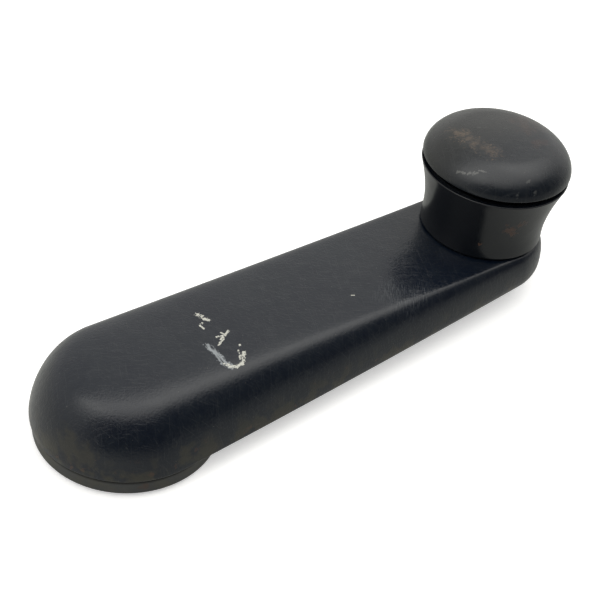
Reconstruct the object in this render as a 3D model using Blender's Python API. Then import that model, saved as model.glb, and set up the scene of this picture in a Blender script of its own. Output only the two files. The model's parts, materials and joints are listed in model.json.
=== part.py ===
"""Window winder crank: an arm with a captive release ring under its hub and a spinning knob on its tip.

Part frame: the origin is on the regulator shaft's axis, at the floor of the splined socket, where the
shaft's end stops. +X runs along the arm to the knob and +Z points away from the door. The pieces are
modelled with z = 0 in the plane of the door trim, under an empty that puts that plane in its place.
Lengths are in millimetres and become metres once, when a mesh is finished.
"""

import math

import bmesh
import bpy
from mathutils import Matrix, Vector

MM = 0.001
GAP = 0.3
WELD = 0.001
QUARTER = math.pi / 2
FULL = 2 * math.pi
SHARP_ANGLE = math.radians(32)

# Roundness: steps around a full circle
FINE_STEPS = 40
RING_STEPS = 36
SMALL_STEPS = 20
RIVET_STEPS = 16
PEG_STEPS = 12

# Roundness: steps along the arcs of the arm, the clips and the cap
HUB_STEPS = 20
SIDE_STEPS = 5
TIP_STEPS = 14
FILLET_STEPS = 5
RIM_STEPS = 2
KEYHOLE_STEPS = 8
CLIP_END_STEPS = 16
CIRCLIP_STEPS = 24
SLEEVE_LEVELS = 7
CAP_LEVELS = 6

# Arm
THROW = 105.0
HUB_R = 21.4
TIP_R = 16.8
ARM_LOW = 5.1
TOP_AT_HUB = 15.1
TOP_AT_KNOB = 11.1
HUB_FILLET_ACROSS = 8.4
HUB_FILLET_DOWN = 14.4
HUB_FILLET_FLATNESS = 1.25
TIP_FILLET_ACROSS = 2.0
TIP_FILLET_DOWN = 5.9
FILLET_POWER = 0.8
LEAST_FILLET = 0.9
CROWN = 0.2
HUB_RIM_ACROSS = 0.4
HUB_RIM_HIGH = 0.45
TIP_RIM_ACROSS = 3.0
TIP_RIM_HIGH = 4.0
WALL = 2.2
TIP_WALL = 4.8
TOP_SLOPE = (TOP_AT_HUB - TOP_AT_KNOB) / THROW
TILT = math.atan(TOP_SLOPE)
SEAT_Z = ARM_LOW + TOP_AT_KNOB

# Stiffening ribs under the arm's top, and how far ribs and bosses are sunk into it
RIB_START_X = 32.0
RIB_END_X = 92.0
RIB_Y = 8.0
RIB_HALF = 0.7
RIB_LOW = -4.6
ROOT = 0.9

# Steel core in the arm, level at the hub and bent to run parallel with the arm's top
CORE_THICK = 2.0
CORE_TOP = 14.0
CORE_BEND_X = 24.0
CORE_HUB_R = 16.0
CORE_TIP_R = 10.5
LIGHTENING_SLOTS = ((30.0, 36.0), (54.0, 70.0))
LIGHTENING_SLOT_R = 3.5

# Splined hub
HUB_BODY_R = 9.0
HUB_FLANGE_R = 12.6
HUB_FLANGE_THICK = 2.5
HUB_SPIGOT_R = 7.0
HUB_SPIGOT_TOP = 14.9
SPLINE_COUNT = 20
SPLINE_ROOT_R = 5.1
SPLINE_TIP_R = 4.6
SPLINE_PROFILE = ((0.0, SPLINE_ROOT_R), (0.3, SPLINE_ROOT_R), (0.55, SPLINE_TIP_R), (0.75, SPLINE_TIP_R))
SOCKET_FLOOR = 12.2
HUB_FLANGE_TOP = CORE_TOP - CORE_THICK - GAP
HUB_FLANGE_LOW = HUB_FLANGE_TOP - HUB_FLANGE_THICK

# Release ring with its spring clip: it slides along +X by RELEASE_TRAVEL
RELEASE_TRAVEL = 5.0
WASHER_THICK = 0.6
WASHER_BORE_R = 9.5
WASHER_R = 18.0
RING_R = 20.85
RING_WALL = 1.8
RING_LOW = WASHER_THICK + GAP
RING_TOP = ARM_LOW - GAP
RING_DECK = 1.4
RING_TOP_EDGE = 0.5
RING_LOW_EDGE = 0.7
RING_SLOT_HALF = 9.4
LUG_INNER_Y = 13.0
LUG_THICK = 1.6
LUG_HALF_LONG = 2.5
HOOK_DEPTH = 1.0
LUG_NOSE = 0.6
HOOK_HIGH = 1.6
CLIP_LOW = 6.2
CLIP_THICK = 1.0
CLIP_PLAY = 0.2
CLIP_GRIP_HALF = 4.15
CLIP_LEAD = 0.8
CLIP_HALF = 7.5
CLIP_KEYHOLE_R = 5.3
CLIP_SLOT_END = -14.3
CLIP_BACK_X = -10.8
CLIP_FRONT_X = 8.5
PEG_X = -16.2
PEG_Y = 2.4
PEG_R = 0.7
PAD_X = -10.2
PAD_Y = 6.1
PAD_HALF = 0.6
HUB_SLOT_INNER = 3.9
HUB_SLOT_OUTER = 7.8

# Fasteners
RIVET_CIRCLE_R = 10.8
RIVET_HEAD_R = 1.5
RIVET_SHANK_R = 1.0
RIVET_HEAD_HIGH = 0.8
SCREW_HEAD_R = 2.6
SCREW_HEAD_HIGH = 1.3
SCREW_SHANK_R = 1.3
SCREW_POINT_R = 0.4
SCREW_TAPER = 1.2
RECESS_LONG = 1.5
RECESS_HALF = 0.3
RECESS_DEEP = 0.8
SCREW_HOLE_R = 1.9
PILOT_R = 1.6
BOSS_R = 3.3
CORE_SCREW_X = 18.5
CORE_SCREW_Y = 10.0
COVER_SCREW_XS = (45.0, 80.0)

# Underside cover
COVER_LOW = ARM_LOW + GAP
COVER_THICK = 1.4
COVER_START_X = 24.0
COVER_BOSS_R = 4.4
COUNTERBORE_R = 3.0
COUNTERBORE_FLOOR = COVER_LOW + 1.8

# Knob, measured along its own axis from the arm's top
FOOT_Z = 0.4
FOOT_R = 15.5
WAIST_R = 15.35
WAIST_SHARE = 0.2
FLARE_POWER = 1.7
SLEEVE_HEIGHT = 17.8
KNOB_R = 18.45
SLEEVE_TOP = FOOT_Z + SLEEVE_HEIGHT
EDGE = 0.35
SHADOW_GAP = 1.3
CAP_LOW = SLEEVE_TOP + SHADOW_GAP
CAP_LOW_R = 17.4
CAP_RIM = 0.4
CAP_EDGE_ACROSS = 7.9
CAP_EDGE_HIGH = 5.5
CAP_CROWN = 1.75
CAP_NECK_R = 16.5
CAVITY_R = 13.2
CAVITY_FLOOR = 4.0
LIP_R = 11.6
LIP_LOW = 16.4
SKIRT_INNER_R = 9.6
SKIRT_DEEP = 2.0
BEAD_R = 12.1
BEAD_LEAD = 0.4
BEAD_LOW = 1.0
CAP_FILLET_ACROSS = 1.2
CAP_FILLET_HIGH = 1.8
CAP_DISH = 0.4
TUBE_R = 7.0
TUBE_TOP = 8.5
TUBE_BORE_R = 4.9
UNDERCUT_R = 13.6
UNDERCUT_Z = 1.4
BUSH_R = 4.6
BUSH_BORE_R = 3.3
BUSH_FLANGE_R = 6.6
BUSH_FLANGE_THICK = 0.7
SHAFT_R = 3.0
SHAFT_HOLE_R = 3.6
SHAFT_TOP = 13.2
NECK_R = 2.2
NECK_HOLE_R = 2.5
SHOULDER_R = 5.0
SHOULDER_THICK = 1.2
SPINDLE_HEAD_R = 3.6
SPINDLE_HEAD_THICK = 0.85
SPINDLE_CHAMFER = 0.4
THRUST_R = 8.0
THRUST_BORE_R = 3.4
THRUST_THICK = 0.8
WAVE_R = 6.0
WAVE_THICK = 0.3
WAVE_RISE = 0.2
WAVES = 3
GROOVE_LOW = 10.55
GROOVE_HIGH = 11.85
CIRCLIP_R = 4.8
CIRCLIP_THICK = 0.7
CIRCLIP_OPENING = 0.42

# Finishes: colour, roughness and metallic value
ARM_PLASTIC = ((0.040, 0.047, 0.055), 0.46, 0.0)
RING_PLASTIC = ((0.030, 0.034, 0.038), 0.52, 0.0)
KNOB_PLASTIC = ((0.038, 0.043, 0.049), 0.36, 0.0)
CAP_PLASTIC = ((0.050, 0.056, 0.062), 0.50, 0.0)
COVER_PLASTIC = ((0.022, 0.024, 0.027), 0.60, 0.0)
NYLON = ((0.62, 0.60, 0.54), 0.55, 0.0)
ACETAL = ((0.50, 0.49, 0.45), 0.45, 0.0)
ZINC_DIE_CAST = ((0.42, 0.42, 0.43), 0.42, 1.0)
PRESSED_STEEL = ((0.36, 0.36, 0.36), 0.45, 1.0)
SPRING_STEEL = ((0.20, 0.20, 0.21), 0.35, 1.0)
PLATED_STEEL = ((0.55, 0.54, 0.48), 0.32, 1.0)


def mix(at_hub, at_tip, run):
    return at_hub + (at_tip - at_hub) * run


def spread(start, end, steps):
    return [start + (end - start) * step / steps for step in range(steps + 1)]


# Outlines: closed lists of (x, y) points, anticlockwise


def arc(x, y, radius, start, end, steps):
    return [(x + radius * math.cos(t), y + radius * math.sin(t)) for t in spread(start, end, steps)]


def circle(x, y, radius, steps=SMALL_STEPS):
    return arc(x, y, radius, 0, FULL, steps)[:-1]


def rectangle(x0, x1, y0, y1):
    return [(x0, y0), (x1, y0), (x1, y1), (x0, y1)]


def stadium(x0, x1, y, radius, steps=SMALL_STEPS):
    """Two half circles centred at x0 and x1, joined by straight sides."""
    half = steps // 2
    return arc(x1, y, radius, -QUARTER, QUARTER, half) + arc(x0, y, radius, QUARTER, 3 * QUARTER, half)


def cross_outline(long, half):
    """A plus sign with arms of the given length and half width."""
    outline = []
    for quarter in range(4):
        turn = Matrix.Rotation(quarter * QUARTER, 2)
        outline += [tuple(turn @ Vector(corner)) for corner in ((long, -half), (long, half), (half, half))]
    return outline


def pill_stations(hub_radius, tip_radius, tip_x):
    """(centre x, outward direction, run) around a hub circle, a tip circle and their tangents.

    run is 0 at the hub and 1 at the tip.
    """
    lean = math.asin((hub_radius - tip_radius) / tip_x)
    side = QUARTER - lean
    stations = [(0.0, facing, 0.0) for facing in spread(side, FULL - side, HUB_STEPS)]
    stations += [(run * tip_x, FULL - side, run) for run in spread(0, 1, SIDE_STEPS)[1:]]
    stations += [(tip_x, facing, 1.0) for facing in spread(-side, side, TIP_STEPS)[1:]]
    stations += [(run * tip_x, side, run) for run in spread(1, 0, SIDE_STEPS)[1:-1]]
    return stations


def pill_outline(hub_radius, tip_radius, tip_x):
    outline = []
    for centre_x, facing, run in pill_stations(hub_radius, tip_radius, tip_x):
        radius = mix(hub_radius, tip_radius, run)
        outline.append((centre_x + radius * math.cos(facing), radius * math.sin(facing)))
    return outline


# Solids, as bmeshes in millimetres


def closed(shape):
    bmesh.ops.remove_doubles(shape, verts=shape.verts, dist=WELD)
    bmesh.ops.recalc_face_normals(shape, faces=shape.faces)
    return shape


def turned(profile, steps):
    """A solid of revolution about Z. Its (radius, height) profile closes itself or meets the axis."""
    shape = bmesh.new()
    points = [shape.verts.new((radius, 0, height)) for radius, height in profile]
    edges = [shape.edges.new(pair) for pair in zip(points, points[1:])]
    if profile[0][0] > 0:
        edges.append(shape.edges.new((points[-1], points[0])))
    bmesh.ops.spin(shape, geom=points + edges, cent=(0, 0, 0), axis=(0, 0, 1), angle=FULL, steps=steps)
    return closed(shape)


def raise_faces(shape, height):
    """Thickens a flat sheet upwards into a solid."""
    lifted = bmesh.ops.extrude_face_region(shape, geom=shape.faces[:])["geom"]
    points = [item for item in lifted if isinstance(item, bmesh.types.BMVert)]
    bmesh.ops.translate(shape, verts=points, vec=(0, 0, height))
    return closed(shape)


def flat_sheet(outline, height):
    sheet = bmesh.new()
    sheet.faces.new([sheet.verts.new((x, y, height)) for x, y in outline])
    return sheet


def prism(outline, low, high):
    return raise_faces(flat_sheet(outline, low), high - low)


def lofted(rings):
    """Bands of faces between successive closed rings. The first and last ring each fold onto a line."""
    shape = bmesh.new()
    rows = [[shape.verts.new(point) for point in ring] for ring in rings]
    for lower, upper in zip(rows, rows[1:]):
        for i in range(len(lower)):
            j = (i + 1) % len(lower)
            shape.faces.new((lower[i], lower[j], upper[j], upper[i]))
    return closed(shape)


def moved(shape, matrix):
    bmesh.ops.transform(shape, matrix=matrix, verts=shape.verts)
    return shape


def together(shapes):
    """One bmesh that holds several shapes which don't touch."""
    whole = bmesh.new()
    for shape in shapes:
        scratch = bpy.data.meshes.new("scratch")
        shape.to_mesh(scratch)
        whole.from_mesh(scratch)
        bpy.data.meshes.remove(scratch)
        shape.free()
    return whole


# Objects


def material(name, finish):
    colour, roughness, metallic = finish
    made = bpy.data.materials.new(name)
    made.use_nodes = True
    shader = made.node_tree.nodes["Principled BSDF"]
    shader.inputs["Base Color"].default_value = (*colour, 1)
    shader.inputs["Roughness"].default_value = roughness
    shader.inputs["Metallic"].default_value = metallic
    made.diffuse_color = (*colour, 1)
    return made


def new_empty(name, location, turn=0, parent=None):
    empty = bpy.data.objects.new(name, None)
    empty.location = Vector(location) * MM
    empty.rotation_euler = (0, turn, 0)
    empty.parent = parent
    bpy.context.scene.collection.objects.link(empty)
    return empty


def new_object(name, shape, parent):
    mesh = bpy.data.meshes.new(name)
    bmesh.ops.scale(shape, vec=(MM, MM, MM), verts=shape.verts)
    shape.to_mesh(mesh)
    shape.free()
    mesh.shade_smooth()
    mesh.set_sharp_from_angle(angle=SHARP_ANGLE)
    obj = bpy.data.objects.new(name, mesh)
    obj.parent = parent
    bpy.context.scene.collection.objects.link(obj)
    return obj


def piece(name, shape, finish, parent):
    obj = new_object(name, shape, parent)
    obj.data.materials.append(material(name + "_finish", finish))
    return obj


def boolean(obj, tool_shapes, operation):
    """Joins or cuts shapes given in the object's own frame. They stay on a hidden helper object."""
    tool = new_object(f"{obj.name}_{operation.lower()}", together(tool_shapes), obj)
    tool.hide_render = True
    tool.display_type = "WIRE"
    modifier = obj.modifiers.new(operation.capitalize(), "BOOLEAN")
    modifier.operation = operation
    modifier.object = tool


def join(obj, shapes):
    boolean(obj, shapes, "UNION")


def cut(obj, shapes):
    boolean(obj, shapes, "DIFFERENCE")


# Arm


def arm_top(x):
    """Height of the arm's flat, sloping top."""
    return ARM_LOW + TOP_AT_HUB - TOP_SLOPE * x


def core_top(x):
    return CORE_TOP - TOP_SLOPE * max(x - CORE_BEND_X, 0)


def core_bottom(x):
    return core_top(x) - CORE_THICK


def side_radius(run, inset):
    """Radius of the arm's side, or of the inner face, whose wall thickens towards the tip."""
    return mix(HUB_R, TIP_R, run) - inset * mix(1, TIP_WALL / WALL, run)


def skin_point(station, inset, turn, reach):
    """A point of the arm's skin, or of its inner face when inset by the wall.

    turn goes from 0 to 1 up the rounded shoulder, then reach goes from 1 to 0 in to the middle of the top.
    """
    centre_x, facing, run = station
    fullness = (1 - run) ** FILLET_POWER
    across = max(mix(TIP_FILLET_ACROSS, HUB_FILLET_ACROSS, fullness) - inset, LEAST_FILLET)
    down = max(mix(TIP_FILLET_DOWN, HUB_FILLET_DOWN, fullness) - inset, LEAST_FILLET)
    flatness = mix(1, HUB_FILLET_FLATNESS, fullness)
    inward = 1 - max(math.cos(turn * QUARTER), 0) ** flatness
    fall = 1 - math.sin(turn * QUARTER) ** flatness
    out = (side_radius(run, inset) - across * inward) * reach
    x = centre_x + out * math.cos(facing)
    y = out * math.sin(facing)
    return x, y, arm_top(x) - inset - CROWN * reach**2 - down * fall


def rim_point(station, rise):
    """A point of the rounded lower edge: rise goes from 0 underneath to 1 where the side is widest."""
    centre_x, facing, run = station
    across = mix(HUB_RIM_ACROSS, TIP_RIM_ACROSS, run**2)
    high = mix(HUB_RIM_HIGH, TIP_RIM_HIGH, run**2)
    out = side_radius(run, 0) - across * (1 - math.sin(rise * QUARTER))
    height = ARM_LOW + high * (1 - math.cos(rise * QUARTER))
    return centre_x + out * math.cos(facing), out * math.sin(facing), height


def skin_rings(inset):
    """Rings from the arm's lower edge up to the line along the middle of its top."""
    stations = pill_stations(HUB_R, TIP_R, THROW)
    if inset:
        start = [skin_point(station, inset, 0, 1) for station in stations]
        rings = [[(x, y, ARM_LOW) for x, y, _ in start]]
    else:
        rings = [[rim_point(station, rise) for station in stations] for rise in spread(0, 1, RIM_STEPS)]
    for turn in spread(0, 1, FILLET_STEPS):
        rings.append([skin_point(station, inset, turn, 1) for station in stations])
    for reach in (0.5, 0):
        rings.append([skin_point(station, inset, 1, reach) for station in stations])
    return rings


def screw_places():
    """(x, y) of the two core screws and the two cover screws."""
    return [(CORE_SCREW_X, -CORE_SCREW_Y), (CORE_SCREW_X, CORE_SCREW_Y)] + [(x, 0) for x in COVER_SCREW_XS]


def along_arm(shape):
    """Turns a shape modelled on the knob's axis, with z = 0 on the arm's top, into place."""
    return moved(shape, Matrix.Translation((THROW, 0, SEAT_Z)) @ Matrix.Rotation(TILT, 4, "Y"))


def make_arm_shell(door_plane):
    rim_to_middle = skin_rings(0)
    middle_to_rim = skin_rings(WALL)[::-1]
    shell = piece("arm_shell", lofted(middle_to_rim + rim_to_middle), ARM_PLASTIC, door_plane)
    bosses = []
    holes = [along_arm(prism(circle(0, 0, SHAFT_HOLE_R), -2 * WALL, WALL))]
    for x, y in screw_places():
        foot = core_top(x) + GAP
        ceiling = arm_top(x) - WALL
        bosses.append(prism(circle(x, y, BOSS_R), foot, ceiling + ROOT))
        holes.append(prism(circle(x, y, PILOT_R), foot - ROOT, ceiling + ROOT / 2))
    for rib_y in (-RIB_Y, RIB_Y):
        sides = rectangle(RIB_START_X - THROW, RIB_END_X - THROW, rib_y - RIB_HALF, rib_y + RIB_HALF)
        bosses.append(along_arm(prism(sides, RIB_LOW, ROOT - WALL)))
    join(shell, bosses)
    cut(shell, holes)


def make_arm_core(door_plane):
    sheet = flat_sheet(pill_outline(CORE_HUB_R, CORE_TIP_R, THROW), CORE_TOP - CORE_THICK)
    everything = sheet.verts[:] + sheet.edges[:] + sheet.faces[:]
    bmesh.ops.bisect_plane(sheet, geom=everything, plane_co=(CORE_BEND_X, 0, 0), plane_no=(1, 0, 0))
    plate = raise_faces(sheet, CORE_THICK)
    for point in plate.verts:
        point.co.z += core_top(point.co.x) - CORE_TOP
    core = piece("arm_core", plate, PRESSED_STEEL, door_plane)
    low = ARM_LOW
    high = CORE_TOP + CORE_THICK
    holes = [prism(circle(0, 0, HUB_SPIGOT_R + GAP, RING_STEPS), low, high)]
    for x, y in rivet_places():
        holes.append(prism(circle(x, y, RIVET_SHANK_R + GAP), low, high))
    for x, y in screw_places():
        holes.append(prism(circle(x, y, SCREW_HOLE_R), low, high))
    lug_front = LUG_HALF_LONG + RELEASE_TRAVEL + GAP
    lug_near = LUG_INNER_Y - GAP
    lug_far = LUG_INNER_Y + LUG_THICK + GAP
    holes.append(prism(rectangle(-LUG_HALF_LONG - GAP, lug_front, lug_near, lug_far), low, high))
    holes.append(prism(rectangle(-LUG_HALF_LONG - GAP, lug_front, -lug_far, -lug_near), low, high))
    for slot_start, slot_end in LIGHTENING_SLOTS:
        holes.append(prism(stadium(slot_start, slot_end, 0, LIGHTENING_SLOT_R), low, high))
    holes.append(along_arm(prism(circle(0, 0, NECK_HOLE_R), low - high, 0)))
    cut(core, holes)


def make_underside_cover(door_plane):
    outline = pill_outline(HUB_R - WALL - GAP, TIP_R - TIP_WALL - GAP, THROW)
    sheet = flat_sheet(outline, COVER_LOW)
    everything = sheet.verts[:] + sheet.edges[:] + sheet.faces[:]
    bmesh.ops.bisect_plane(
        sheet, geom=everything, plane_co=(COVER_START_X, 0, 0), plane_no=(1, 0, 0), clear_inner=True
    )
    cover = piece("underside_cover", raise_faces(sheet, COVER_THICK), COVER_PLASTIC, door_plane)
    root = COVER_LOW + COVER_THICK / 2
    posts = []
    holes = []
    for x in COVER_SCREW_XS:
        posts.append(prism(circle(x, 0, COVER_BOSS_R), root, core_bottom(x + COVER_BOSS_R) - GAP))
        holes.append(prism(circle(x, 0, COUNTERBORE_R), COVER_LOW - 1, COUNTERBORE_FLOOR))
    join(cover, posts)
    cut(cover, holes)
    shanks = [prism(circle(x, 0, SCREW_HOLE_R), COVER_LOW, CORE_TOP) for x in COVER_SCREW_XS]
    cut(cover, shanks)


# Hub and fasteners


def rivet_places():
    third = FULL / 3
    return [(RIVET_CIRCLE_R * math.cos(i * third), RIVET_CIRCLE_R * math.sin(i * third)) for i in range(3)]


def spline_outline():
    """Outline of the serrated bore: each tooth is a flat root, a flank, a flat tip and a flank."""
    tooth = FULL / SPLINE_COUNT
    outline = []
    for i in range(SPLINE_COUNT):
        for share, radius in SPLINE_PROFILE:
            angle = (i + share) * tooth
            outline.append((radius * math.cos(angle), radius * math.sin(angle)))
    return outline


def make_splined_hub(door_plane):
    chamfer = 0.5
    profile = [
        (0, GAP),
        (HUB_BODY_R - chamfer, GAP),
        (HUB_BODY_R, GAP + chamfer),
        (HUB_BODY_R, HUB_FLANGE_LOW),
        (HUB_FLANGE_R, HUB_FLANGE_LOW),
        (HUB_FLANGE_R, HUB_FLANGE_TOP),
        (HUB_SPIGOT_R, HUB_FLANGE_TOP),
        (HUB_SPIGOT_R, HUB_SPIGOT_TOP),
        (0, HUB_SPIGOT_TOP),
    ]
    hub = piece("splined_hub", turned(profile, RING_STEPS), ZINC_DIE_CAST, door_plane)
    beyond = HUB_BODY_R + 1
    slot_low = CLIP_LOW - CLIP_PLAY
    slot_high = CLIP_LOW + CLIP_THICK + CLIP_PLAY
    cuts = [prism(rectangle(-beyond, beyond, HUB_SLOT_INNER, HUB_SLOT_OUTER), slot_low, slot_high)]
    cuts.append(prism(rectangle(-beyond, beyond, -HUB_SLOT_OUTER, -HUB_SLOT_INNER), slot_low, slot_high))
    for x, y in rivet_places():
        cuts.append(prism(circle(x, y, RIVET_SHANK_R + GAP), HUB_FLANGE_LOW - 1, HUB_FLANGE_TOP + 1))
    cut(hub, cuts)
    cut(hub, [prism(spline_outline(), -1, SOCKET_FLOOR)])


def make_rivets(door_plane):
    low = HUB_FLANGE_LOW - GAP
    high = CORE_TOP + GAP
    round_off = 0.4
    profile = [
        (0, low - RIVET_HEAD_HIGH),
        (RIVET_HEAD_R - round_off, low - RIVET_HEAD_HIGH),
        (RIVET_HEAD_R, low - RIVET_HEAD_HIGH + round_off),
        (RIVET_HEAD_R, low),
        (RIVET_SHANK_R, low),
        (RIVET_SHANK_R, high),
        (RIVET_HEAD_R, high),
        (RIVET_HEAD_R, high + RIVET_HEAD_HIGH - round_off),
        (RIVET_HEAD_R - round_off, high + RIVET_HEAD_HIGH),
        (0, high + RIVET_HEAD_HIGH),
    ]
    for number, (x, y) in enumerate(rivet_places(), 1):
        rivet = piece(f"hub_rivet_{number}", turned(profile, RIVET_STEPS), PLATED_STEEL, door_plane)
        rivet.location = Vector((x, y, 0)) * MM


def make_screw(name, x, y, seat, tip, door_plane):
    """A pan-head screw that points up: its head's flat side at seat, its point at tip."""
    low = seat - SCREW_HEAD_HIGH
    rounded = 0.6
    profile = [
        (0, low),
        (SCREW_HEAD_R - rounded, low),
        (SCREW_HEAD_R, low + rounded),
        (SCREW_HEAD_R, seat),
        (SCREW_SHANK_R, seat),
        (SCREW_SHANK_R, tip - SCREW_TAPER),
        (SCREW_POINT_R, tip),
        (0, tip),
    ]
    screw = piece(name, turned(profile, RIVET_STEPS), PLATED_STEEL, door_plane)
    screw.location = Vector((x, y, 0)) * MM
    cut(screw, [prism(cross_outline(RECESS_LONG, RECESS_HALF), low - 1, low + RECESS_DEEP)])


def make_screws(door_plane):
    for number, side in ((1, -1), (2, 1)):
        seat = core_bottom(CORE_SCREW_X) - GAP
        tip = arm_top(CORE_SCREW_X) - WALL
        make_screw(f"core_screw_{number}", CORE_SCREW_X, side * CORE_SCREW_Y, seat, tip, door_plane)
    for number, x in enumerate(COVER_SCREW_XS, 1):
        make_screw(f"cover_screw_{number}", x, 0, COUNTERBORE_FLOOR - GAP, arm_top(x) - WALL, door_plane)


# Release ring


def make_trim_washer(door_plane):
    chamfer = 0.15
    profile = [
        (WASHER_BORE_R, 0),
        (WASHER_R - chamfer, 0),
        (WASHER_R, chamfer),
        (WASHER_R, WASHER_THICK - chamfer),
        (WASHER_R - chamfer, WASHER_THICK),
        (WASHER_BORE_R, WASHER_THICK),
    ]
    piece("trim_washer", turned(profile, RING_STEPS), NYLON, door_plane)


def lug(side):
    """A leg with a hook that faces the hub and rests over the core's top."""
    foot = RING_TOP - RING_DECK / 2
    inner = LUG_INNER_Y
    outer = inner + LUG_THICK
    catch = CORE_TOP + GAP
    crest = catch + HOOK_HIGH
    profile = [
        (inner, foot),
        (outer, foot),
        (outer, crest),
        (inner + LUG_NOSE, crest),
        (inner - HOOK_DEPTH, catch + LUG_NOSE),
        (inner - HOOK_DEPTH, catch),
        (inner, catch),
    ]
    # The profile is drawn in (y, z) and extruded along x.
    shape = prism(profile, -LUG_HALF_LONG, LUG_HALF_LONG)
    stand = Matrix(((0, 0, 1, 0), (side, 0, 0, 0), (0, 1, 0, 0), (0, 0, 0, 1)))
    return closed(moved(shape, stand))


def make_lock_ring(door_plane):
    inner = RING_R - RING_WALL
    deck_low = RING_TOP - RING_DECK
    profile = [
        (0, deck_low),
        (inner, deck_low),
        (inner, RING_LOW),
        (RING_R - RING_LOW_EDGE, RING_LOW),
        (RING_R - RING_LOW_EDGE / 4, RING_LOW + RING_LOW_EDGE / 3),
        (RING_R, RING_LOW + RING_LOW_EDGE),
        (RING_R, RING_TOP - RING_TOP_EDGE),
        (RING_R - RING_TOP_EDGE, RING_TOP),
        (0, RING_TOP),
    ]
    ring = piece("lock_ring", turned(profile, FINE_STEPS), RING_PLASTIC, door_plane)
    foot = RING_TOP - RING_DECK / 2
    extras = [lug(-1), lug(1)]
    peg_top = CLIP_LOW + CLIP_THICK + GAP
    for side in (-1, 1):
        extras.append(prism(circle(PEG_X, side * PEG_Y, PEG_R, PEG_STEPS), foot, peg_top))
        pad_y = side * PAD_Y
        sides = rectangle(PEG_X - PAD_HALF, PAD_X, pad_y - PAD_HALF, pad_y + PAD_HALF)
        extras.append(prism(sides, foot, CLIP_LOW - GAP))
    join(ring, extras)
    cut(ring, [prism(stadium(-RELEASE_TRAVEL, 0, 0, RING_SLOT_HALF, RING_STEPS), RING_LOW, CLIP_LOW)])


def make_retaining_clip(door_plane):
    """A flat U whose sides grip the shaft's groove; pushed along +X its keyhole frees the shaft."""
    keyhole_x = -RELEASE_TRAVEL
    meet = math.asin(CLIP_GRIP_HALF / CLIP_KEYHOLE_R)
    inner = [(CLIP_FRONT_X, CLIP_GRIP_HALF + CLIP_LEAD), (CLIP_FRONT_X - 2 * CLIP_LEAD, CLIP_GRIP_HALF)]
    inner += arc(keyhole_x, 0, CLIP_KEYHOLE_R, meet, math.pi - meet, KEYHOLE_STEPS)
    inner += [(CLIP_SLOT_END, CLIP_GRIP_HALF)]
    outer = arc(CLIP_BACK_X, 0, CLIP_HALF, 3 * QUARTER, QUARTER, CLIP_END_STEPS)
    mirrored = [(x, -y) for x, y in reversed(inner)]
    outline = inner + mirrored + [(CLIP_FRONT_X, -CLIP_HALF)] + outer + [(CLIP_FRONT_X, CLIP_HALF)]
    clip_top = CLIP_LOW + CLIP_THICK
    clip = piece("retaining_clip", prism(outline, CLIP_LOW, clip_top), SPRING_STEEL, door_plane)
    holes = []
    for side in (-1, 1):
        holes.append(prism(circle(PEG_X, side * PEG_Y, PEG_R + GAP), CLIP_LOW - 1, clip_top + 1))
    cut(clip, holes)


# Knob: every piece is modelled along Z from the arm's top and parented to the knob's axis


def sleeve_radius(share):
    """Radius of the knob's waisted side, share of the way up it."""
    if share < WAIST_SHARE:
        return mix(WAIST_R, FOOT_R, ((WAIST_SHARE - share) / WAIST_SHARE) ** 2)
    return mix(WAIST_R, KNOB_R, ((share - WAIST_SHARE) / (1 - WAIST_SHARE)) ** FLARE_POWER)


def make_knob_spindle(axis):
    plate_high = (core_top(THROW) - SEAT_Z) * math.cos(TILT)
    plate_low = plate_high - CORE_THICK * math.cos(TILT)
    head_high = plate_low - GAP
    head_low = head_high - SPINDLE_HEAD_THICK
    profile = [
        (0, head_low),
        (SPINDLE_HEAD_R - 2.5 * SPINDLE_CHAMFER, head_low),
        (SPINDLE_HEAD_R, head_low + SPINDLE_CHAMFER),
        (SPINDLE_HEAD_R, head_high),
        (NECK_R, head_high),
        (NECK_R, plate_high + GAP),
        (SHOULDER_R, plate_high + GAP),
        (SHOULDER_R, plate_high + GAP + SHOULDER_THICK),
        (SHAFT_R, plate_high + GAP + SHOULDER_THICK),
        (SHAFT_R, GROOVE_LOW),
        (NECK_R, GROOVE_LOW),
        (NECK_R, GROOVE_HIGH),
        (SHAFT_R, GROOVE_HIGH),
        (SHAFT_R, SHAFT_TOP - SPINDLE_CHAMFER),
        (SHAFT_R - SPINDLE_CHAMFER, SHAFT_TOP),
        (0, SHAFT_TOP),
    ]
    piece("knob_spindle", turned(profile, SMALL_STEPS), PLATED_STEEL, axis)


def washer_profile(inner, outer, low, high):
    return [(inner, low), (outer, low), (outer, high), (inner, high)]


def make_washers_and_clip(axis):
    thrust = washer_profile(THRUST_BORE_R, THRUST_R, GAP, GAP + THRUST_THICK)
    piece("thrust_washer", turned(thrust, RING_STEPS), NYLON, axis)

    flange_top = TUBE_TOP + GAP + BUSH_FLANGE_THICK
    wave_low = flange_top + GAP + WAVE_RISE
    wave = turned(washer_profile(THRUST_BORE_R, WAVE_R, wave_low, wave_low + WAVE_THICK), RING_STEPS)
    for point in wave.verts:
        point.co.z += WAVE_RISE * math.cos(WAVES * math.atan2(point.co.y, point.co.x))
    piece("wave_washer", wave, SPRING_STEEL, axis)

    gap_end = FULL - CIRCLIP_OPENING
    outline = arc(0, 0, CIRCLIP_R, CIRCLIP_OPENING, gap_end, CIRCLIP_STEPS)
    outline += arc(0, 0, NECK_R + GAP, gap_end, CIRCLIP_OPENING, CIRCLIP_STEPS)
    middle = (GROOVE_LOW + GROOVE_HIGH) / 2
    circlip = prism(outline, middle - CIRCLIP_THICK / 2, middle + CIRCLIP_THICK / 2)
    piece("spindle_clip", circlip, SPRING_STEEL, axis)


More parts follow.
